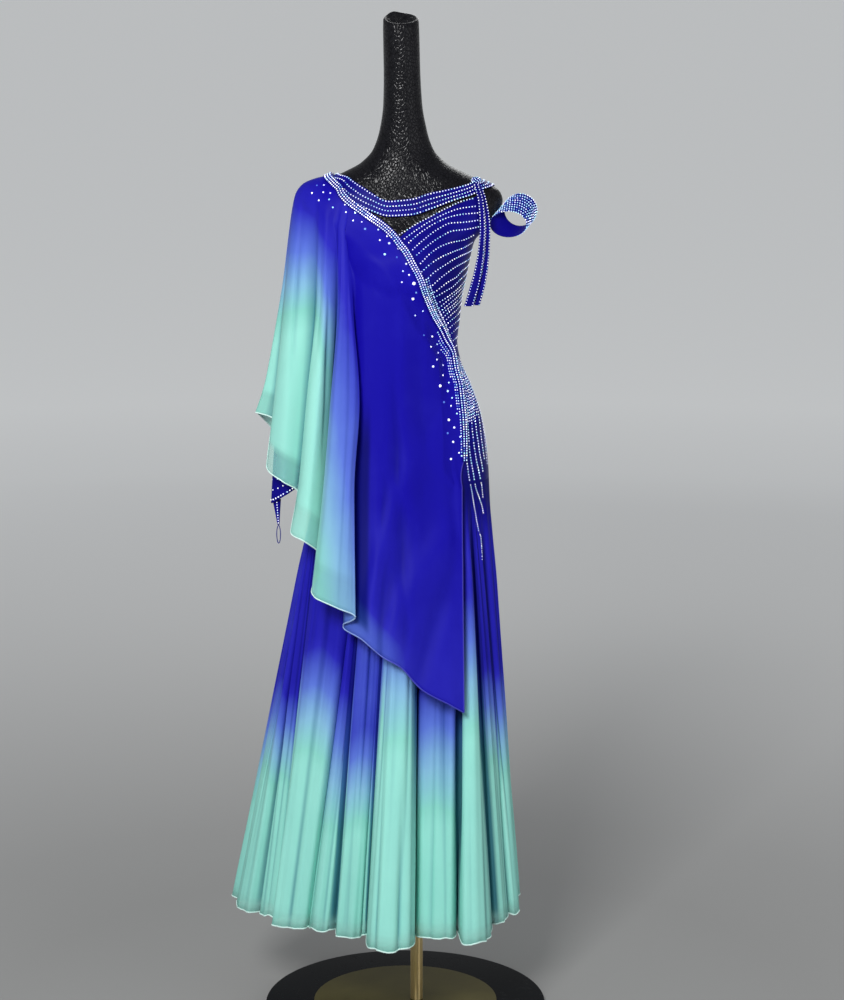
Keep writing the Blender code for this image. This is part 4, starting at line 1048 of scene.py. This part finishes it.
sleeve = {
    "headZ": 1.532, "headHalf": 0.036, "headHalfY": 0.036, "headOut": 0.0048, "wall": 0.0012,
    "sides": 72, "rows": 110,
    # middle, half sizes and slant of each ring below the head
    "rings": ((-0.166, -0.004, 1.46, 0.023, 0.034, 0.0), (-0.172, -0.008, 1.39, 0.023, 0.027, 0.0),
              (-0.186, -0.01, 1.29, 0.023, 0.018, 0.0), (-0.199, -0.014, 1.21, 0.0225, 0.014, 0.0),
              (-0.215, -0.016, 1.11, 0.024, 0.011, 0.0), (-0.2225, -0.016, 1.012, 0.0245, 0.0095, 0.016)),
    # soft creases: place round the tube in turns at the top and bottom, width, depth
    "creases": ((0.2, 0.27, 0.05, 0.0018), (0.33, 0.3, 0.05, -0.0016), (0.7, 0.76, 0.05, 0.0018),
                (0.83, 0.8, 0.05, -0.0016), (0.05, 0.02, 0.05, 0.0012), (0.52, 0.5, 0.06, -0.0012)),
    "point": ((-0.2385, -0.0165, 1.0036, 0.0078), (-0.237, -0.0165, 0.979, 0.0046),
              (-0.2355, -0.0165, 0.9545, 0.0016)),
    "loopLength": 0.034, "loopWidth": 0.007, "loopThread": 0.0008, "pointWall": 0.0012,
}


def sleeveGrid():
    # the head lies round the shoulder, and the sleeve hangs flat and empty below it
    turn = turnsOf(sleeve["sides"])
    z = sleeve["headZ"] + sleeve["headHalf"] * np.cos(turn)
    y = sleeve["headHalfY"] * np.sin(turn)
    wide, front, back, power = bodySizes(z)
    x = -wide * (1 - (np.abs(y) / np.where(y < 0, front, back)) ** power) ** (1 / power)
    rings = [offBody(bodyAngle(np.stack([x, y, z], axis=-1)), z, sleeve["headOut"])]
    for midX, midY, midZ, halfX, halfY, slant in sleeve["rings"]:
        rings.append(np.stack([midX - halfX * np.cos(turn), midY + halfY * np.sin(turn),
                               midZ - slant * np.cos(turn)], axis=-1))
    fall = np.linspace(0, 1, sleeve["rows"])
    grid = smoothRows(np.stack(rings), fall * (len(rings) - 1))[:, ::-1]
    out = np.zeros(grid.shape[:2])
    place = 1 - turn / (2 * np.pi)
    for top, low, width, depth in sleeve["creases"]:
        off = (place[None, :] - (top + (low - top) * fall[:, None]) + 0.5) % 1.0 - 0.5
        out += depth * smoothStep(fall, 0.12, 0.4)[:, None] * hump(off, 0, width)
    return grid + normalsOf(grid, True) * out[..., None]


def stripGrid(table, rows, columns, crease=0.25):
    # a narrow ribbon, set back at its two edges by a share of its half width
    x, y, z, half = smoothRows(np.array(table), np.linspace(0, len(table) - 1, rows)).T[..., None]
    side = np.linspace(-1, 1, columns)
    return np.stack([x + half * side, y + crease * half * np.abs(side), z + 0 * side], axis=-1)


sleevePoints = sleeveGrid()
leftSleeve = putCloth("leftSleeve", sleevePoints, satin, sleeve["wall"], "left_sleeve",
                      closed=True)
fingerPoint = putCloth("fingerPoint", stripGrid(sleeve["point"], 16, 7), satin, sleeve["pointWall"],
                       "finger_point")
loopTurn = turnsOf(64)
loopPath = np.array(sleeve["point"][-1][:3]) + np.stack([
    sleeve["loopWidth"] / 2 * np.sin(loopTurn), 0 * loopTurn,
    -0.0006 - sleeve["loopThread"] - sleeve["loopLength"] * (0.5 - 0.5 * np.cos(loopTurn))], axis=-1)
fingerLoop = putTube("fingerLoop", loopPath, sleeve["loopThread"], 8, satin, closed=True)
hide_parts("finger_loop")
print("sleeve made")


# right shoulder: knot, tails and arm band

knot = {"middle": (0.1335, -0.036, 1.603), "size": (0.009, 0.0065, 0.006), "rows": 40, "columns": 64,
        "gathers": 9, "depth": 0.1, "stones": 44, "goldenTurn": 2.39996}
tails = {
    "front": ((0.1325, -0.041, 1.5978, 0.0036), (0.142, -0.059, 1.564, 0.0046),
              (0.145, -0.061, 1.518, 0.0046), (0.1432, -0.061, 1.481, 0.0055),
              (0.1366, -0.061, 1.435, 0.0072), (0.13, -0.061, 1.407, 0.0082), (0.12, -0.061, 1.374, 0.0082)),
    "back": ((0.1395, -0.0378, 1.5962, 0.0032), (0.15, -0.052, 1.559, 0.004),
             (0.1546, -0.054, 1.518, 0.0046), (0.1536, -0.054, 1.481, 0.0048),
             (0.15, -0.054, 1.444, 0.0055), (0.1427, -0.054, 1.407, 0.0064),
             (0.1343, -0.054, 1.375, 0.0064)),
    "wall": 0.0012,
}
armBand = {"far": (0.216, -0.0055, 1.5455, 0.0293, 0.029), "near": (0.193, -0.03, 1.522, 0.0327, 0.0232),
           "wall": 0.0017, "rows": 15, "sides": 120}


def makeKnot():
    # an ellipsoid with shallow gathers that run from its middle: 1 - depth * share of a cosine
    lift = np.linspace(0.06, np.pi - 0.06, knot["rows"])[:, None]
    turn = turnsOf(knot["columns"])
    wave = 0.5 + 0.5 * np.cos(knot["gathers"] * turn + 2.0 * np.cos(lift))
    gather = 1 - knot["depth"] * np.sin(lift) * wave
    ball = np.stack([np.sin(lift) * np.sin(turn) * gather, -np.sin(lift) * np.cos(turn) * gather,
                     np.cos(lift) + 0 * turn], axis=-1)
    grid = np.array(knot["middle"]) + ball * np.array(knot["size"])
    obj = putPiece("shoulderKnot", grid, tubeFaces(*grid.shape[:2]), satin)
    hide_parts("shoulder_knot")


makeKnot()
tailPieces = [putCloth(name, stripGrid(tails[key], 70, 9), satin, tails["wall"], node)
              for name, key, node in (("tailFront", "front", "tail_front"),
                                      ("tailBack", "back", "tail_back"))]


def armBandGrid(rows, sides, share=(0.0, 1.0)):
    # lofted between its far ring and its near one
    turn = turnsOf(sides)
    near = np.linspace(share[0], share[1], rows)[:, None]
    x, y, z, halfX, halfZ = (a + (b - a) * near for a, b in zip(armBand["far"], armBand["near"]))
    return np.stack([x - halfX * np.cos(turn), y + 0 * turn, z + halfZ * np.sin(turn)], axis=-1)


armBandPiece = putCloth("armBand", armBandGrid(armBand["rows"], armBand["sides"]), satin, armBand["wall"],
                        "arm_band", closed=True)
print("shoulder made")


# stones

stones = {
    "sides": 6, "tableWide": 0.56, "tableHigh": 0.6, "sink": 0.12, "tintSpread": 0.24,
    # pitch along a line, size and tint; the waist's lines leave the hip's near their start
    "sewn": {"chest": (0.0056, 0.0027, 0.6), "hip": (0.0052, 0.0029, 0.56), "waist": (0.005, 0.0028, 0.46),
             "back": (0.0047, 0.00279, 0.72), "fill": (0.0048, 0.002635, 0.42),
             "skirt": (0.0042, 0.0024, 0.7)},
    "waistEnd": 40, "backLines": 22, "hipBackLines": 10, "usualTint": 0.55, "largeTint": 0.95, "large": 4.2,
    # lines on the right of the bodice, from the trim to the armhole: angle and height
    "chest": (((-2.4, 1.507), (4.3, 1.522), (12.9, 1.539), (22.9, 1.556), (31.4, 1.566), (41.0, 1.571)),
              ((0.1, 1.5), (7.0, 1.516), (15.3, 1.534), (23.5, 1.547), (31.7, 1.554), (42.7, 1.557)),
              ((2.8, 1.493), (10.1, 1.512), (17.5, 1.528), (24.4, 1.538), (33.0, 1.543), (46.8, 1.545)),
              ((5.7, 1.481), (13.7, 1.5), (21.0, 1.518), (27.9, 1.528), (37.9, 1.529), (50.3, 1.532)),
              ((8.8, 1.472), (18.3, 1.49), (26.2, 1.505), (32.6, 1.514), (43.7, 1.516), (55.9, 1.52)),
              ((12.1, 1.457), (21.0, 1.476), (30.2, 1.488), (40.1, 1.494), (51.9, 1.497), (61.3, 1.505)),
              ((13.4, 1.442), (22.7, 1.459), (32.7, 1.47), (44.5, 1.477), (57.6, 1.482), (74.3, 1.49)),
              ((17.8, 1.427), (26.6, 1.443), (36.3, 1.454), (47.4, 1.464), (62.4, 1.47), (87.1, 1.474)),
              ((19.9, 1.41), (25.8, 1.419), (32.5, 1.43), (39.8, 1.439), (49.4, 1.448), (61.8, 1.454),
               (86.9, 1.46)),
              ((23.8, 1.402), (29.8, 1.407), (36.0, 1.415), (43.9, 1.423), (53.3, 1.429), (64.6, 1.44),
               (87.1, 1.447)),
              ((27.3, 1.394), (34.9, 1.4), (41.8, 1.406), (49.7, 1.411), (61.8, 1.423), (73.5, 1.429),
               (86.9, 1.434)),
              ((31.6, 1.381), (37.2, 1.387), (44.8, 1.393), (51.5, 1.399), (59.5, 1.405), (74.3, 1.416),
               (87, 1.422)),
              ((34.4, 1.372), (41.5, 1.381), (47.9, 1.388), (56.8, 1.396), (71.5, 1.405), (87, 1.411)),
              ((36.0, 1.364), (44.8, 1.375), (53.4, 1.383), (61.9, 1.389), (71.4, 1.396), (87, 1.402)),
              ((35.2, 1.355), (40.1, 1.362), (45.4, 1.368), (54.7, 1.375), (64.0, 1.382), (71.7, 1.387),
               (87, 1.393)),
              ((38.1, 1.348), (41.9, 1.354), (47.4, 1.361), (53.7, 1.367), (61.0, 1.373), (72.2, 1.379),
               (87, 1.384)),
              ((39.8, 1.34), (48.1, 1.351), (56.3, 1.359), (64.6, 1.364), (74.7, 1.37), (87, 1.374)),
              ((43.1, 1.334), (50.3, 1.342), (57.2, 1.348), (66.1, 1.353), (75.5, 1.357), (87, 1.36)),
              ((47.0, 1.324), (54.8, 1.333), (62.6, 1.339), (74.2, 1.343), (87, 1.345)),
              ((51.5, 1.312), (56.6, 1.319), (65.0, 1.325), (76.3, 1.329), (87, 1.33)),
              ((51.9, 1.297), (57.9, 1.303), (67.7, 1.308), (84.3, 1.312)),
              ((54.6, 1.285), (59.6, 1.291), (67.8, 1.294), (80.8, 1.295))),
    # lines that fan from the waist over the hip
    "hip": (((53.3, 1.254), (55.2, 1.235), (56.5, 1.218), (55.1, 1.198), (53.2, 1.179), (51.0, 1.161),
             (49.0, 1.143), (46.9, 1.125), (45.8, 1.107), (46.1, 1.092), (47.1, 1.077), (47.6, 1.062),
             (48.6, 1.048)),
            ((56.2, 1.257), (60.0, 1.237), (62.7, 1.22), (61.5, 1.2), (57.4, 1.179), (53.0, 1.152),
             (51.5, 1.125), (50.7, 1.106), (51.4, 1.087), (52.8, 1.066), (54.0, 1.048)),
            ((60.6, 1.262), (66.0, 1.24), (69.7, 1.217), (66.9, 1.195), (61.2, 1.174), (57.5, 1.138),
             (57.0, 1.114), (58.0, 1.089), (60.7, 1.062), (62.4, 1.048)),
            ((63.4, 1.266), (72.4, 1.242), (76.9, 1.216), (74.6, 1.197), (67.6, 1.177), (65.1, 1.155),
             (63.7, 1.131), (63.8, 1.112), (64.5, 1.093), (65.9, 1.078), (67.3, 1.06)),
            ((67.2, 1.27), (77.0, 1.246), (81.5, 1.213), (80.4, 1.194), (76.2, 1.171), (73.5, 1.147),
             (70.9, 1.119), (71.4, 1.101), (72.6, 1.082)),
            ((68.0, 1.274), (80.0, 1.252), (86.0, 1.215), (87.0, 1.19), (86.0, 1.165), (83.5, 1.14),
             (81.0, 1.116), (79.8, 1.094), (79.9, 1.07)),
            ((64.0, 1.279), (80.0, 1.27), (88.0, 1.24), (89.6, 1.2), (89.6, 1.16), (89.6, 1.12),
             (89.0, 1.09))),
    # the same fan's ends on the skirt: x and height
    "skirt": (((0.1245, 1.043), (0.1261, 1.035), (0.1312, 1.003), (0.1364, 0.973), (0.1403, 0.953),
               (0.1447, 0.938), (0.1462, 0.915), (0.147, 0.895)),
              ((0.133, 1.043), (0.1349, 1.033), (0.1417, 1.013), (0.1465, 0.997), (0.1495, 0.982)),
              ((0.144, 1.043), (0.1456, 1.038), (0.1484, 1.012))),
    # behind, from the cape's free edge to the armhole and the side
    "back": (((166, 1.535), (153, 1.545), (140, 1.556)), ((166, 1.505), (146, 1.528), (128, 1.538)),
             ((166, 1.475), (141, 1.507), (113, 1.514)), ((166, 1.44), (137, 1.48), (101, 1.49)),
             ((166, 1.405), (133, 1.448), (93, 1.465)), ((166, 1.365), (131, 1.405), (93, 1.425)),
             ((166, 1.325), (131, 1.35), (93, 1.372)), ((160, 1.287), (130, 1.293), (93, 1.3))),
    "hipBack": (((126, 1.287), (132, 1.227), (138, 1.145), (137, 1.071), (130, 1.052)),
                ((126, 1.287), (124, 1.226), (131, 1.144), (132, 1.06)),
                ((126, 1.287), (113, 1.214), (114, 1.14), (113, 1.055)),
                ((110, 1.284), (95, 1.219), (96, 1.181), (96, 1.134), (98, 1.07))),
    # loose stones on the cape: x, height, diameter in mm
    "loose": ((-0.158, 1.593, 3), (-0.145, 1.594, 3), (-0.167, 1.58, 3), (-0.146, 1.582, 3),
              (-0.154, 1.568, 3), (-0.133, 1.581, 3), (-0.135, 1.57, 3), (-0.128, 1.556, 3),
              (-0.106, 1.561, 3), (-0.104, 1.548, 3), (-0.087, 1.547, 3), (-0.091, 1.533, 3),
              (-0.075, 1.531, 3), (-0.069, 1.519, 4), (-0.045, 1.518, 3), (-0.029, 1.507, 3),
              (-0.042, 1.5, 3), (-0.025, 1.495, 4), (-0.007, 1.487, 6), (-0.0095, 1.4945, 4),
              (-0.033, 1.476, 4), (-0.011, 1.471, 3), (0.006, 1.459, 3), (0.0, 1.446, 3), (0.011, 1.439, 3),
              (-0.002, 1.426, 3), (0.02, 1.423, 5.5), (0.024, 1.406, 3), (0.018, 1.394, 5),
              (0.036, 1.37, 3), (0.022, 1.363, 3), (0.038, 1.326, 3), (0.053, 1.321, 4), (0.051, 1.304, 3),
              (0.062, 1.305, 3), (0.064, 1.29, 3), (0.062, 1.279, 3), (0.055, 1.267, 4), (0.073, 1.266, 3),
              (0.073, 1.248, 3), (0.068, 1.23, 5), (0.084, 1.233, 3), (0.082, 1.218, 4), (0.075, 1.199, 4),
              (0.09, 1.205, 3), (0.088, 1.191, 3), (0.084, 1.166, 4.5), (0.099, 1.176, 3),
              (0.094, 1.151, 4), (0.082, 1.142, 4), (0.105, 1.133, 3), (0.092, 1.125, 4), (0.103, 1.104, 3),
              (0.108, 1.098, 3), (0.088, 1.094, 4)),
}


def pick(values, rows):
    # values read between the rows of an array, in proportion
    low = np.clip(np.floor(rows).astype(int), 0, len(values) - 2)
    part = (rows - low).reshape((-1,) + (1,) * (values.ndim - 1))
    return values[low] * (1 - part) + values[low + 1] * part


def evenly(path, pitch, shift=0.5):
    # places, in the path's own rows, at an even pitch along it
    run = stepLengths(path, 0)
    count = max(int(run[-1] / pitch), 1)
    return np.interp((np.arange(count) + shift) * run[-1] / count, run, np.arange(len(path)))


def brick(k):
    # every second row of stones starts half a pitch on
    return 0.25 + 0.5 * (k % 2)


def spread(table):
    # each line of a table as 80 angles and heights
    return [smoothRows(np.array(line, float), np.linspace(0, len(line) - 1, 80)) for line in table]


def linesBetween(table, count):
    # more lines between those of a table, smooth from one to the next
    return list(smoothRows(np.stack(spread(table)), np.linspace(0, len(table) - 1, count)))


def putStones(name, parts, tint=None):
    # faceted discs: a ring sunk a little into the cloth and a smaller flat ring above it. Each part
    # holds places, directions, sizes and, where they differ, tints
    centres, normals, sizes, *tints = [np.concatenate(column) for column in zip(*parts)]
    count, sides = len(centres), stones["sides"]
    normals = unit(normals)
    side, up = acrossFrom(normals, -1)
    turn = turnsOf(sides) + dice.uniform(0, 1, (count, 1))
    ring = side[:, None] * np.cos(turn)[..., None] + up[:, None] * np.sin(turn)[..., None]
    radius = (sizes / 2)[:, None, None]
    lift = normals[:, None] * radius
    low = centres[:, None] + ring * radius - lift * stones["sink"]
    high = centres[:, None] + ring * radius * stones["tableWide"] + lift * stones["tableHigh"]
    base = np.arange(count)[:, None] * 2 * sides
    around = np.arange(sides)
    after = (around + 1) % sides
    crown = np.stack([around, after, after + sides, around + sides], axis=1).reshape(-1)
    faces = ((base + crown).reshape(-1, 4).tolist() + (base + around[::-1]).tolist()
             + (base + around + sides).tolist())
    tints = np.clip((tints[0] if tints else tint) + dice.normal(0, stones["tintSpread"], count), 0, 1)
    return putPiece(name, np.stack([low, high], axis=1), faces, stoneFinish,
                    {"tint": np.repeat(tints, 2 * sides)}, None, False)


def strung(points, normals, pitch, size, lift=0.0, shift=0.5):
    # stones at an even pitch along a line: their places lifted off it, directions and sizes
    rows = evenly(points, pitch, shift)
    facing = pick(normals, rows)
    return pick(points, rows) + facing * lift, facing, np.full(len(rows), size)


def sewnStones(key, lines):
    # stones along lines of angle and height on the bodice
    pitch, size, tint = stones["sewn"][key]
    top = bodice["out"] + bodice["wall"]
    parts = [strung(offBody(*line.T, top), bodyNormal(*line.T), pitch, size) for line in lines]
    return putStones(key + "Stones", parts, tint)


def seatOn(grid, wall, x, z):
    # the front point of a sheet at x and z: the nearest grid point's plane, on the nearest layer
    normals = normalsOf(grid).reshape(-1, 3)
    points = grid.reshape(-1, 3) + normals * wall
    away = np.hypot(points[:, 0] - x[:, None], points[:, 2] - z[:, None])
    front = np.where(normals[:, 1] < -0.15, 0.0, 1.0)
    near = np.argmin(away + front, axis=1)
    spot, normal = points[near], normals[near]
    lean = (normal[:, 0] * (x - spot[:, 0]) + normal[:, 2] * (z - spot[:, 2])) / normal[:, 1]
    return np.stack([x, spot[:, 1] - lean, z], axis=-1), normal


chestStones = sewnStones("chest", spread(stones["chest"]))
hipLines = spread(stones["hip"])
hipStones = sewnStones("hip", hipLines)
# between them, where they leave the waist, one more line each
waistLines = [(0.5 * (first + second))[:stones["waistEnd"]] for first, second in zip(hipLines, hipLines[1:])]
waistStones = sewnStones("waist", waistLines)
backStones = sewnStones("back", linesBetween(stones["back"], stones["backLines"])
                        + linesBetween(stones["hipBack"], stones["hipBackLines"]))

# on the skirt, seated on the right of its front, whose upper rows are read finer
side = (skirtPoints[0, :, 0] > 0.09) & (skirtPoints[0, :, 1] < 0)
skirtSide = smoothRows(skirtPoints[:, side], np.linspace(0, 20, 200))
pitch, size, tint = stones["sewn"]["skirt"]
parts = [strung(*seatOn(skirtSide, skirt["wall"], *line.T), pitch, size) for line in spread(stones["skirt"])]
skirtStones = putStones("skirtStones", parts, tint)

# on the cape, their diameters in mm drawn a quarter wider
x, z, wide = np.array(stones["loose"]).T
tint = np.where(wide > stones["large"], stones["largeTint"], stones["usualTint"])
capeStones = putStones("capeStones", [(*seatOn(capeFrontPoints, cape["wall"], x, z), wide * 0.00125, tint)])

# three rows along the trim down to the waist, and the outer two from there to the hip
at = np.linspace(trim["start"], trim["end"], 500)
out = bodyNormal(*sewnEdge(at))
parts = []
for k, (share, size, last) in enumerate(trim["stones"]):
    line = trimGrid([share], 500)[0]
    rows = evenly(line, trim["pitch"], brick(k))
    rows = rows[pick(at, rows) < last]
    tint = np.interp(pick(at, rows), trim["tint"]["at"], trim["tint"]["value"])
    parts.append((pick(line + out * trim["wall"], rows), pick(out, rows), np.full(len(rows), size), tint))
trimStones = putStones("trimStones", parts)

# and beside it on the cape, three short rows round the waist
parts = []
for share, first, last in trim["beside"]:
    line = trimGrid([share], 500)[0]
    rows = evenly(line, trim["besidePitch"])
    line = pick(line, rows[(pick(at, rows) > first) & (pick(at, rows) < last)])
    seat = seatOn(capeFrontPoints, cape["wall"], line[:, 0], line[:, 2])
    parts.append((*seat, np.full(len(line), trim["besideSize"])))
sideStones = putStones("sideStones", parts, 0.46)

# on the trim's other side the bodice is sewn solid with two more rows
first, last = trim["filled"]
solid = (at > first) & (at < last)
fillStones = sewnStones("fill", [np.stack([bodyAngle(line), line[:, 2]], axis=1)[solid]
                                 for line in trimGrid(trim["fill"], 500)])

for name, key in (("neckStonesFront", "front"), ("neckStonesBack", "back")):
    parts = []
    top = neckBand["out"] + neckBand["wall"]
    for k, (share, size, pitch) in enumerate(neckBand["stones"]):
        angle, z, points = bandGrid(neckBand[key], 300, 1, top, (share, share))
        parts.append(strung(points[0], bodyNormal(angle, z[0]), pitch, size, shift=brick(k)))
    putStones(name, parts, 0.54)

# the knot's stones follow a spiral of golden turns
count = knot["stones"]
lift = np.arccos(1 - 2 * (np.arange(count) + 0.5) / count)
turn = np.arange(count) * knot["goldenTurn"]
ball = np.stack([np.sin(lift) * np.cos(turn), np.sin(lift) * np.sin(turn), np.cos(lift)], axis=-1)
size = np.array(knot["size"])
parts = [(np.array(knot["middle"]) + ball * size, ball / size, np.full(count, 0.0022))]
knotStones = putStones("knotStones", parts, 0.4)

for name, key in (("tailStonesFront", "front"), ("tailStonesBack", "back")):
    grid = np.moveaxis(stripGrid(tails[key], 300, 9), 1, 0)[::-1]
    normals = normalsOf(grid)
    parts = [strung(grid[k], normals[k], 0.0052, 0.0023, shift=brick(k)) for k in (1, 7)]
    centres, facing, sizes = [np.concatenate(column) for column in zip(*parts)]
    facing = -np.sign(facing[:, 1].mean()) * unit(facing)  # towards the front
    putStones(name, [(centres + facing * tails["wall"], facing, sizes)], 0.7)

# rings of stones round the arm band, left out where it is plain
grid = armBandGrid(9, 240)
normals = normalsOf(grid, True)
turn = turnsOf(240)
way = np.degrees(np.arctan2(np.sin(turn), -np.cos(turn)))
parts = []
for k, ring in enumerate(grid):
    rows = evenly(ring, 0.0044, brick(k))
    rows = rows[~((pick(way, rows) > -178) & (pick(way, rows) < -62))]
    facing = pick(normals[k], rows)
    parts.append((pick(ring, rows) + facing * armBand["wall"], facing, np.full(len(rows), 0.0029)))
armBandStones = putStones("armBandStones", parts, 0.36)

# the sleeve's point: stones on its face and along the sleeve's slanting end
grid = np.moveaxis(stripGrid(sleeve["point"], 60, 9), 1, 0)[::-1]
parts = [strung(grid[4], normalsOf(grid)[4], 0.0048, 0.0025, sleeve["pointWall"], brick(4))]
quarter = -sleevePoints.shape[1] // 4
turned, facing = [np.roll(part, quarter, axis=1) for part in (sleevePoints, normalsOf(sleevePoints, True))]
for row, pitch, size in ((-2, 0.0056, 0.0034), (-5, 0.011, 0.0028), (-8, 0.013, 0.0026)):
    parts.append(strung(turned[row], facing[row], pitch, size, sleeve["wall"], 0.25 - 0.05 * row))
fingerStones = putStones("fingerStones", parts, 0.8)
print("stones made")
# floor, light and camera

floorMesh = bpy.data.meshes.new("floor")
floorMesh.from_pydata([(-200, -200, 0), (200, -200, 0), (200, 200, 0), (-200, 200, 0)], [], [(0, 1, 2, 3)])
floorLook = Finish("paleFloor")
# a sweep of grey that pales with the distance from the middle, and a painted glow of light that grows with
# it
reach = floorLook.length(floorLook.spot()) / 8.0
grey = floorLook.ramp(reach, (0.1, (0.3, 0.3, 0.295)), (0.7, (0.8, 0.81, 0.81)))
paintedGlow = floorLook.ramp(reach, (0.15, (0.03, 0.03, 0.03)), (0.9, (0.26, 0.265, 0.265)))
floorMesh.materials.append(floorLook.shade(Base_Color=grey, Roughness=0.7, Specular_IOR_Level=0.1,
                                           Emission_Color=paintedGlow, Emission_Strength=1.0))
floor = bpy.data.objects.new("floor", floorMesh)
bpy.context.scene.collection.objects.link(floor)

world = bpy.data.worlds.new("studio")
world.use_nodes = True
world.node_tree.nodes["Background"].inputs["Color"].default_value = (0.8, 0.82, 0.85, 1)
world.node_tree.nodes["Background"].inputs["Strength"].default_value = 0.36
bpy.context.scene.world = world


def putLight(name, spot, aim, size, power, colour=(1, 1, 1)):
    # a square soft light at spot that faces aim
    light = bpy.data.lights.new(name, "AREA")
    light.size = size
    light.energy = power
    light.color = colour
    obj = bpy.data.objects.new(name, light)
    obj.location = spot
    way = np.array(aim) - np.array(spot)
    flat = math.hypot(way[0], way[1])
    obj.rotation_euler = (math.atan2(flat, -way[2]), 0.0, math.atan2(way[1], way[0]) - math.pi / 2)
    bpy.context.scene.collection.objects.link(obj)


putLight("key", (-1.1, -3.8, 3.3), (0, 0, 1.2), 1.2, 165)
putLight("fill", (3.0, -2.8, 1.6), (0, 0, 1.0), 2.2, 26)
putLight("rim", (0.6, 3.2, 3.0), (0, 0, 1.2), 1.8, 25)

camera = bpy.data.cameras.new("camera")
camera.lens = 101.34
camera.sensor_width = 36.0
cameraObject = bpy.data.objects.new("camera", camera)
cameraObject.location = (0.0325, -5.2, 2.059)
cameraObject.rotation_euler = (math.radians(90 - 11.43), 0, 0)
bpy.context.scene.collection.objects.link(cameraObject)
bpy.context.scene.camera = cameraObject
bpy.context.scene.view_settings.view_transform = "Standard"
